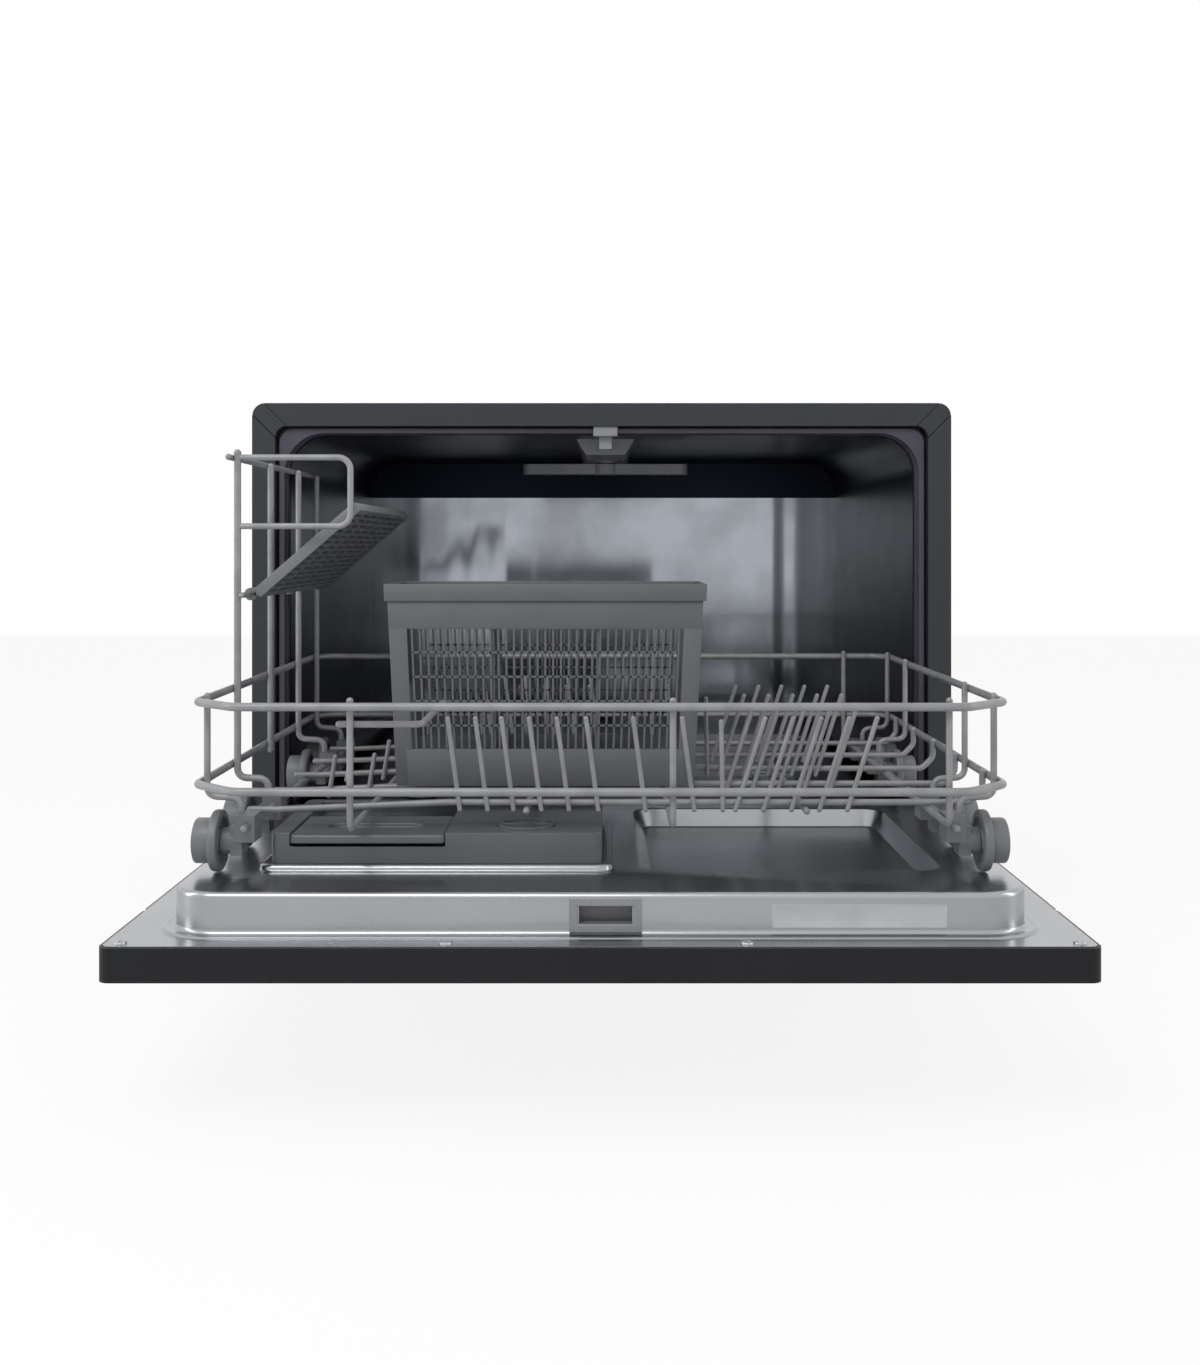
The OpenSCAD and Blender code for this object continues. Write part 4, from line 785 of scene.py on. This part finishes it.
# %% Building and running Geometry Nodes trees
def geometry_tree(name, inputs):
    """A Geometry Nodes tree with a mesh in, a mesh out and the given inputs."""
    start = [("Geometry", "Geometry", None)]
    return group("GeometryNodeTree", name, start + inputs, [("Geometry", "Geometry")])


def hand_out(tree, sink, geometry, material):
    """Ends a tree: instances made real, the material set, the result handed out."""
    real = step(tree, "GeometryNodeRealizeInstances", {"Geometry": geometry})
    dressed = step(tree, "GeometryNodeSetMaterial",
                   {"Geometry": real.outputs["Geometry"], "Material": material})
    tree.links.new(dressed.outputs["Geometry"], sink.inputs["Geometry"])
    return tree


def run_tree(name, mesh, tree, **inputs):
    """Runs a Geometry Nodes tree on a mesh and returns the plain result."""
    holder = put(name, mesh)
    modifier = holder.modifiers.new("nodes", "NODES")
    modifier.node_group = tree
    names = {s.name: s.identifier for s in tree.interface.items_tree if s.in_out == "INPUT"}
    for label, value in inputs.items():
        modifier[names[label.replace("_", " ")]] = value
    return plain(holder)


print("every tree ends in Realize Instances and Set Material")

# %% The tree of coated wire
def coated_wire_tree():
    tree, given, sink = geometry_tree("coated_wire", [
        ("Sides", "Int", 14), ("End drop", "Float", 1.06),
        ("Material", "Material", None)])
    path = step(tree, "GeometryNodeMeshToCurve", {"Mesh": given["Geometry"]})
    width = step(tree, "GeometryNodeInputNamedAttribute", values={"Name": "wire_r"}, data_type="FLOAT")
    round_wire = step(tree, "GeometryNodeCurvePrimitiveCircle", {"Resolution": given["Sides"]},
                      {"Radius": 1.0})
    tube = step(tree, "GeometryNodeCurveToMesh",
                {"Curve": path.outputs["Curve"], "Profile Curve": round_wire.outputs["Curve"],
                 "Scale": width.outputs["Attribute"]},
                {"Fill Caps": True})
    ends = step(tree, "GeometryNodeCurveEndpointSelection", values={"Start Size": 1, "End Size": 1})
    cyclic = step(tree, "GeometryNodeInputSplineCyclic")
    is_open = step(tree, "FunctionNodeBooleanMath", {0: cyclic.outputs["Cyclic"]}, operation="NOT")
    chosen = step(tree, "FunctionNodeBooleanMath",
                  {0: ends.outputs["Selection"], 1: is_open.outputs["Boolean"]}, operation="AND")
    drop = step(tree, "GeometryNodeMeshIcoSphere", values={"Radius": 1.0, "Subdivisions": 2})
    swell = step(tree, "ShaderNodeMath", {0: width.outputs["Attribute"], 1: given["End drop"]},
                 operation="MULTIPLY")
    drops = step(tree, "GeometryNodeInstanceOnPoints",
                 {"Points": path.outputs["Curve"], "Selection": chosen.outputs["Boolean"],
                  "Instance": drop.outputs["Mesh"], "Scale": swell.outputs["Value"]})
    joined = step(tree, "GeometryNodeJoinGeometry", {"Geometry": tube.outputs["Mesh"]})
    tree.links.new(drops.outputs["Instances"], joined.inputs["Geometry"])
    return hand_out(tree, sink, joined.outputs["Geometry"], given["Material"])


def path_mesh(name, paths):
    """A mesh of edges along the paths, with the wire's radius on every point."""
    verts, edges, widths = [], [], []
    for points, r, closed in paths:
        first = len(verts)
        verts += [spot(*p) for p in points]
        widths += [r * MM] * len(points)
        edges += [(first + i, first + i + 1) for i in range(len(points) - 1)]
        if closed:
            edges.append((len(verts) - 1, first))
    mesh = bpy.data.meshes.new(name)
    mesh.from_pydata(verts, edges, [])
    mesh.attributes.new("wire_r", "FLOAT", "POINT").data.foreach_set("value", widths)
    return mesh


COATED_WIRE = coated_wire_tree()
rack_mesh = run_tree("rack_wire", path_mesh("rack_paths", wires), COATED_WIRE,
                     Material=FINISH["coated_wire"])
rack_wire = stand_in("rack_wire", rack_mesh, "rack_rails", "rack_wires", "rack_tines", crease=60)
print("rack wire:", len(rack_wire.data.polygons), "faces")

# %% [markdown]
# ## Wheels
# Each wheel is one moulding: a wide flange that rolls on the door, a smaller tread that rolls on the
# tub's rail, and a hub with ribs inside the tread. A profile turned round the axle gives the body, and
# the ribs are thin blocks between hub and tread.

# %% Turn the wheels
def turned(work, profile, centre, side, steps=40):
    """A profile of (radius, distance outwards) turned round an axle along x."""
    rings = []
    for r, out in profile:
        rings.append([work.verts.new((centre[0] + side * out, centre[1] + r * math.cos(a),
                                      centre[2] + r * math.sin(a)))
                      for a in (2 * math.pi * i / steps for i in range(steps))])
    for lower, upper in zip(rings, rings[1:] + rings[:1]):
        strip(work, lower, upper)


FLANGE_R, TREAD_R, BORE_R, WHEEL_X = 18.3, 13.5, 4.08, 226
WHEEL_PROFILE = [
    (BORE_R, 0.4), (7, 0.4), (7.6, 1.6), (FLANGE_R - 5.5, 1.6), (FLANGE_R - 4.5, 0), (FLANGE_R - 1.4, 0),
    (FLANGE_R - 0.4, 0.4), (FLANGE_R, 1.4), (FLANGE_R, 4.1), (FLANGE_R - 0.4, 5.1), (FLANGE_R - 1.4, 5.5),
    (TREAD_R + 0.8, 5.5), (TREAD_R, 6.3), (TREAD_R, 14.8), (TREAD_R - 0.4, 15.7), (TREAD_R - 1.2, 16),
    (TREAD_R - 2.2, 15.7), (TREAD_R - 2.5, 14.8), (TREAD_R - 2.9, 6.4), (6.8, 6.2), (6.5, 14.8),
    (6.1, 15.4), (BORE_R, 15.4),
]


def wheel(number):
    side = -1 if number <= 4 else 1
    centre = (side * WHEEL_X, WHEEL_Y[(number - 1) % 4], AXLE_Z)
    work = bmesh.new()
    turned(work, WHEEL_PROFILE, centre, side)
    for i in range(3):
        spin = Matrix.Translation(centre) @ Matrix.Rotation(math.radians(120 * i + 25), 4, "X")
        block(work, (7 if side > 0 else -14, 6.2, -0.8), (7, 5.2, 1.6), spin)
    mesh = mesh_of(work, f"roller_{number}", closed=True)
    return stand_in(f"roller_{number}", mesh, f"wheel_{number}", crease=40)


rollers = [wheel(i) for i in range(1, 9)]
print("wheels:", [o.name for o in rollers])

# %% [markdown]
# ## Moulded grids
# The cutlery basket is a plastic box whose walls are grids of thin bars, and the cup shelf is a plate
# of ribs. Repeating bars suit Geometry Nodes: one tree lays a row of upright bars and a ladder of
# level ones in a flat panel, and each wall of the basket is that panel with its own sizes, stood up
# and moved to its place.

# %% A tree that lays a grid of bars
def grid_tree():
    inputs = [("Width", "Float", 0.1), ("Height", "Float", 0.1),
              ("Columns", "Int", 20), ("Rows", "Int", 6),
              ("Bar", "Float", 0.002), ("Depth", "Float", 0.002),
              ("Material", "Material", None)]
    tree, given, sink = geometry_tree("bar_grid", inputs)

    def row(count, span, length, along):
        """Bars at even spacing over span, each length long."""
        points = step(tree, "GeometryNodeMeshLine", {"Count": count}, mode="END_POINTS")
        half = step(tree, "ShaderNodeMath", {0: span}, {1: 0.5}, operation="MULTIPLY")
        minus = step(tree, "ShaderNodeMath", {0: span}, {1: -0.5}, operation="MULTIPLY")
        start = step(tree, "ShaderNodeCombineXYZ", {along: minus.outputs[0]})
        end = step(tree, "ShaderNodeCombineXYZ", {along: half.outputs[0]})
        tree.links.new(start.outputs[0], points.inputs["Start Location"])
        tree.links.new(end.outputs[0], points.inputs["Offset"])
        across = "Z" if along == "X" else "X"
        size = step(tree, "ShaderNodeCombineXYZ", {along: given["Bar"], across: length, "Y": given["Depth"]})
        bar = step(tree, "GeometryNodeMeshCube", {"Size": size.outputs[0]})
        return step(tree, "GeometryNodeInstanceOnPoints",
                    {"Points": points.outputs["Mesh"], "Instance": bar.outputs["Mesh"]})

    columns = row(given["Columns"], given["Width"], given["Height"], "X")
    rows = row(given["Rows"], given["Height"], given["Width"], "Z")
    joined = step(tree, "GeometryNodeJoinGeometry", {"Geometry": columns.outputs["Instances"]})
    tree.links.new(rows.outputs["Instances"], joined.inputs["Geometry"])
    return hand_out(tree, sink, joined.outputs["Geometry"], given["Material"])


BAR_GRID = grid_tree()


def grid_panel(place, width, height, columns, rows, bar=1.3, depth=1.8, look="basket_grey"):
    """A grid in the x-z plane centred on the origin, then moved by place, all in millimetres."""
    mesh = run_tree("grid", bpy.data.meshes.new("seed"), BAR_GRID, Width=width, Height=height,
                    Columns=columns, Rows=rows, Bar=bar, Depth=depth, Material=FINISH[look])
    mesh.transform(place)
    return mesh


def gather(name, parts, look):
    """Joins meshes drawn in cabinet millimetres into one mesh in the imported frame."""
    work = bmesh.new()
    for part in parts:
        work.from_mesh(part)
        bpy.data.meshes.remove(part)
    for face in work.faces:
        face.material_index = 0
    mesh = mesh_of(work, name)
    mesh.materials.clear()
    mesh.materials.append(FINISH[look])
    return mesh


print("sockets of the grid tree:", len(BAR_GRID.interface.items_tree))

# %% Assemble the cutlery basket
BASKET_X, BASKET_Y, BASKET_Z = -36.0, FRONT_RAIL + 104, FLOOR_WIRE_Z + WIRE_R + 0.3
BASKET_W, BASKET_D, BASKET_H, BASKET_TAPER = 206.0, 74.0, 131.0, 6.5
BASKET_POST, BASKET_WALL = 12.0, 2.2
BASKET_FOOT, BASKET_BAND = 24, BASKET_H - 29
FRONT_BARS, SIDE_BARS, LEVEL_BARS = 35, 12, 6


def basket_frame():
    """Solid rims, corner posts, dividers and floor of the basket."""
    work = bmesh.new()
    half, deep = BASKET_W / 2, BASKET_D

    def rail(x0, x1, y0, y1, z0, z1):
        block(work, (x0, y0, z0), (x1 - x0, y1 - y0, z1 - z0))

    wall = BASKET_WALL
    rims = [(-half - 1.5, half + 1.5, -1.8, 0.6), (-half - 1.5, half + 1.5, deep - 0.6, deep + 1.8),
            (-half - 1.8, -half + 0.6, -1.5, deep + 1.5), (half - 0.6, half + 1.8, -1.5, deep + 1.5)]
    for rim in rims:
        rail(*rim, BASKET_H - 11, BASKET_H)
    for y0 in (0, deep - wall):
        rail(-half, half, y0, y0 + wall, BASKET_BAND, BASKET_H - 10.8)
        rail(-half + 8, half - 8, y0 + 0.05, y0 + 2.15, 0, BASKET_FOOT)
        for x0 in (-half, half - BASKET_POST):
            rail(x0, x0 + BASKET_POST, y0 + 0.1, y0 + 2.1, 0.3, BASKET_H - 12)
    for x0 in (-half, half - wall):
        rail(x0, x0 + wall, 0.4, deep - 0.4, BASKET_BAND, BASKET_H - 10.8)
        rail(x0, x0 + wall, 0.4, 12, 60, BASKET_H - 12)
        rail(x0, x0 + wall, deep - 12, deep - 0.4, 60, BASKET_H - 12)
    for i in (1, 2):
        x = -half + i * (BASKET_W + wall) / 3 - wall
        rail(x, x + wall, 2, deep - 2, BASKET_H - 22, BASKET_H - 9)
        rail(x, x + wall, 2, deep - 2, 0.5, 8)
    rail(-half + 8, half - 8, 0.2, deep - 0.2, 0.2, 2.4)
    mesh = mesh_of(work, "basket_frame", Matrix())
    return baked("basket_frame", mesh, [("BEVEL", dict(width=0.45, segments=2, limit_method="ANGLE"))])


def basket():
    home = Matrix.Translation((BASKET_X, BASKET_Y, BASKET_Z))
    quarter = Matrix.Rotation(math.radians(90), 4, "Z")
    frame_part = basket_frame()
    frame_part.transform(home)
    parts = [frame_part]
    middle_z = (BASKET_FOOT + BASKET_BAND) / 2
    for y in (1.1, BASKET_D - 1.1):
        place = home @ Matrix.Translation((0, y, middle_z))
        parts.append(grid_panel(place, BASKET_W - 2 * BASKET_POST - 6, BASKET_BAND - BASKET_FOOT + 1,
                                FRONT_BARS, LEVEL_BARS))
    for x in (-BASKET_W / 2 + 1.1, BASKET_W / 2 - 1.1):
        place = home @ Matrix.Translation((x, BASKET_D / 2, middle_z + 4)) @ quarter
        parts.append(grid_panel(place, BASKET_D - 16, BASKET_H - 45, SIDE_BARS, LEVEL_BARS))
    for i in (1, 2):
        x = -BASKET_W / 2 + i * (BASKET_W + BASKET_WALL) / 3 - 1.1
        place = home @ Matrix.Translation((x, BASKET_D / 2, BASKET_H / 2 - 6)) @ quarter
        parts.append(grid_panel(place, BASKET_D - 6, BASKET_H - 28, SIDE_BARS, LEVEL_BARS + 1))
    mesh = gather("basket", parts, "basket_grey")
    # the walls lean inwards towards the floor, as a moulded box does to leave its tool
    for vert in mesh.vertices:
        down = 1 - (vert.co.z / MM - BASKET_Z) / BASKET_H
        lean = 1 - BASKET_TAPER * max(0.0, down) / (BASKET_W / 2)
        vert.co.x = BASKET_X * MM + (vert.co.x - BASKET_X * MM) * lean
    return stand_in("basket", mesh, "cutlery_basket")


cutlery_box = basket()
print("basket:", len(cutlery_box.data.polygons), "faces")

# %% Assemble the cup shelf
SHELF_W, SHELF_L, SHELF_T, SHELF_TILT = 92.0, 236.0, 7.0, 41.0
SHELF_Y, EYE_R = FRONT_RAIL + 112, 4.2
SHELF_RIBS, CROSS_RIBS = 16, 8


def shelf_frame():
    """Rim, eyes and stiff edge of the shelf, flat, with its hinge line on the y axis."""
    work = bmesh.new()
    near_x = EYE_R + 1
    sides = [(near_x, SHELF_W, 0, 3.4), (near_x, SHELF_W, SHELF_L - 3.4, SHELF_L),
             (near_x, near_x + 4, 3, SHELF_L - 3), (SHELF_W - 4, SHELF_W, 3, SHELF_L - 3)]
    for x0, x1, y0, y1 in sides:
        block(work, (x0, y0, -SHELF_T), (x1 - x0, y1 - y0, SHELF_T))
    block(work, (near_x + 2, 2, -SHELF_T * 0.55), (SHELF_W - near_x - 4, SHELF_L - 4, 1.6))
    for y in (8, 122, 218):
        eye = bmesh.ops.create_cone(work, cap_ends=True, segments=28, radius1=EYE_R, radius2=EYE_R,
                                    depth=10)
        turn = Matrix.Translation((0, y + 5, 0)) @ Matrix.Rotation(math.radians(90), 4, "X")
        bmesh.ops.transform(work, matrix=turn, verts=eye["verts"])
        block(work, (1.0, y, -EYE_R + 0.2), (EYE_R + 2, 10, 3.4))
    mesh = mesh_of(work, "shelf_frame", Matrix())
    return baked("shelf_frame", mesh, [("BEVEL", dict(width=0.5, segments=2, limit_method="ANGLE",
                                                      angle_limit=math.radians(40)))])


def cup_shelf():
    home = (Matrix.Translation((SHELF_PIVOT[0], SHELF_Y, SHELF_PIVOT[1]))
            @ Matrix.Rotation(math.radians(-SHELF_TILT), 4, "Y"))
    lie_flat = Matrix.Rotation(math.radians(-90), 4, "X")
    middle = Matrix.Translation(((EYE_R + 1 + SHELF_W) / 2, SHELF_L / 2, -SHELF_T / 2))
    edge = shelf_frame()
    edge.transform(home)
    ribs = grid_panel(home @ middle @ lie_flat, SHELF_W - EYE_R - 6, SHELF_L - 6, SHELF_RIBS, CROSS_RIBS,
                      bar=1.8, depth=SHELF_T - 0.6, look="shelf_grey")
    mesh = gather("cup_shelf_plate", [edge, ribs], "shelf_grey")
    return stand_in("cup_shelf_plate", mesh, "cup_shelf")


cup_rest = cup_shelf()
print("cup shelf:", len(cup_rest.data.polygons), "faces")

# %% [markdown]
# ## Screws
# Four pan-head screws hold the door's two skins together, and more hold the back panel and the
# casing's ledges. One head is modelled, with its cross recess, and a tree puts it on each point.

# %% A cross-recess head, and a tree that places it
def screw_head(radius, height):
    """A domed head along +z with a cross sunk in it, in metres."""
    work = bmesh.new()
    steps = 32
    profile = [(radius, 0), (radius, height * 0.35), (radius * 0.93, height * 0.7),
               (radius * 0.72, height * 0.93), (radius * 0.5, height)]
    rings = [[work.verts.new((r * math.cos(a), r * math.sin(a), z))
              for a in (2 * math.pi * i / steps for i in range(steps))] for r, z in profile]
    for lower, upper in zip(rings, rings[1:]):
        strip(work, lower, upper)
    arm, slot = radius * 0.4, radius * 0.11
    cross = [(arm, -slot), (arm, slot), (slot, slot), (slot, arm), (-slot, arm), (-slot, slot),
             (-arm, slot), (-arm, -slot), (-slot, -slot), (-slot, -arm), (slot, -arm), (slot, -slot)]
    rim = ring(work, cross, height)
    sunk = ring(work, [(x * 0.7, y * 0.7) for x, y in cross], height * 0.25)
    strip(work, rim, sunk)
    work.faces.new(sunk)
    plate(work, [rings[-1], rim])
    upright(work)
    return mesh_of(work, "screw_head", Matrix())


def placing_tree():
    tree, given, sink = geometry_tree("heads_on_points", [
        ("Head", "Object", None), ("Turn", "Vector", (0, 0, 0)),
        ("Seed", "Int", 7), ("Material", "Material", None)])
    head = step(tree, "GeometryNodeObjectInfo", {"Object": given["Head"]})
    spin = step(tree, "FunctionNodeRandomValue", {"Seed": given["Seed"]}, data_type="FLOAT")
    spin.inputs[3].default_value = math.pi
    about = step(tree, "ShaderNodeCombineXYZ", {"Z": spin.outputs[1]})
    placed = step(tree, "GeometryNodeInstanceOnPoints",
                  {"Points": given["Geometry"], "Instance": head.outputs["Geometry"]})
    facing = step(tree, "FunctionNodeEulerToRotation", {"Euler": given["Turn"]})
    tree.links.new(facing.outputs["Rotation"], placed.inputs["Rotation"])
    spun = step(tree, "GeometryNodeRotateInstances",
                {"Instances": placed.outputs["Instances"], "Rotation": about.outputs["Vector"]})
    spun.inputs["Local Space"].default_value = True
    return hand_out(tree, sink, spun.outputs["Instances"], given["Material"])


HEADS_ON_POINTS = placing_tree()


def heads(name, points, turn, radius, height, look, body, stands_for=(), slot=None, seed=7):
    pattern = put("pattern", screw_head(radius * MM, height * MM))
    mesh = bpy.data.meshes.new("points")
    mesh.from_pydata([spot(*p) for p in points], [], [])
    made = run_tree(name, mesh, HEADS_ON_POINTS, Head=pattern, Turn=turn, Seed=seed, Material=FINISH[look])
    bpy.data.objects.remove(pattern)
    return seat(name, made, look, body, stands_for, slot, crease=28)


screw_y = DOOR_EDGE + 8
heads("flange_screws", [(x, screw_y, FLANGE_Z) for x in (-264, -85, 81, 264)], (0, 0, 0), 3.6, 1.35,
      "zinc", "door", ["door_screws"], seed=3)
BACK_Y = 480.0
back_points = [(x, BACK_Y, z) for x in (-262, 262) for z in (40, 150, 290, 410)]
back_points += [(x, BACK_Y, 425) for x in (-130, 0, 130)]
heads("back_screws", back_points, (math.radians(-90), 0, 0), 3.4, 1.6, "zinc", "cabinet",
      slot="zinc_steel", seed=5)
print("screws on the door and the back")

# %% [markdown]
# ## The end
# The dressed machine must stay inside the box of its CAD model.

# %% The end of the scene
print("scene built")
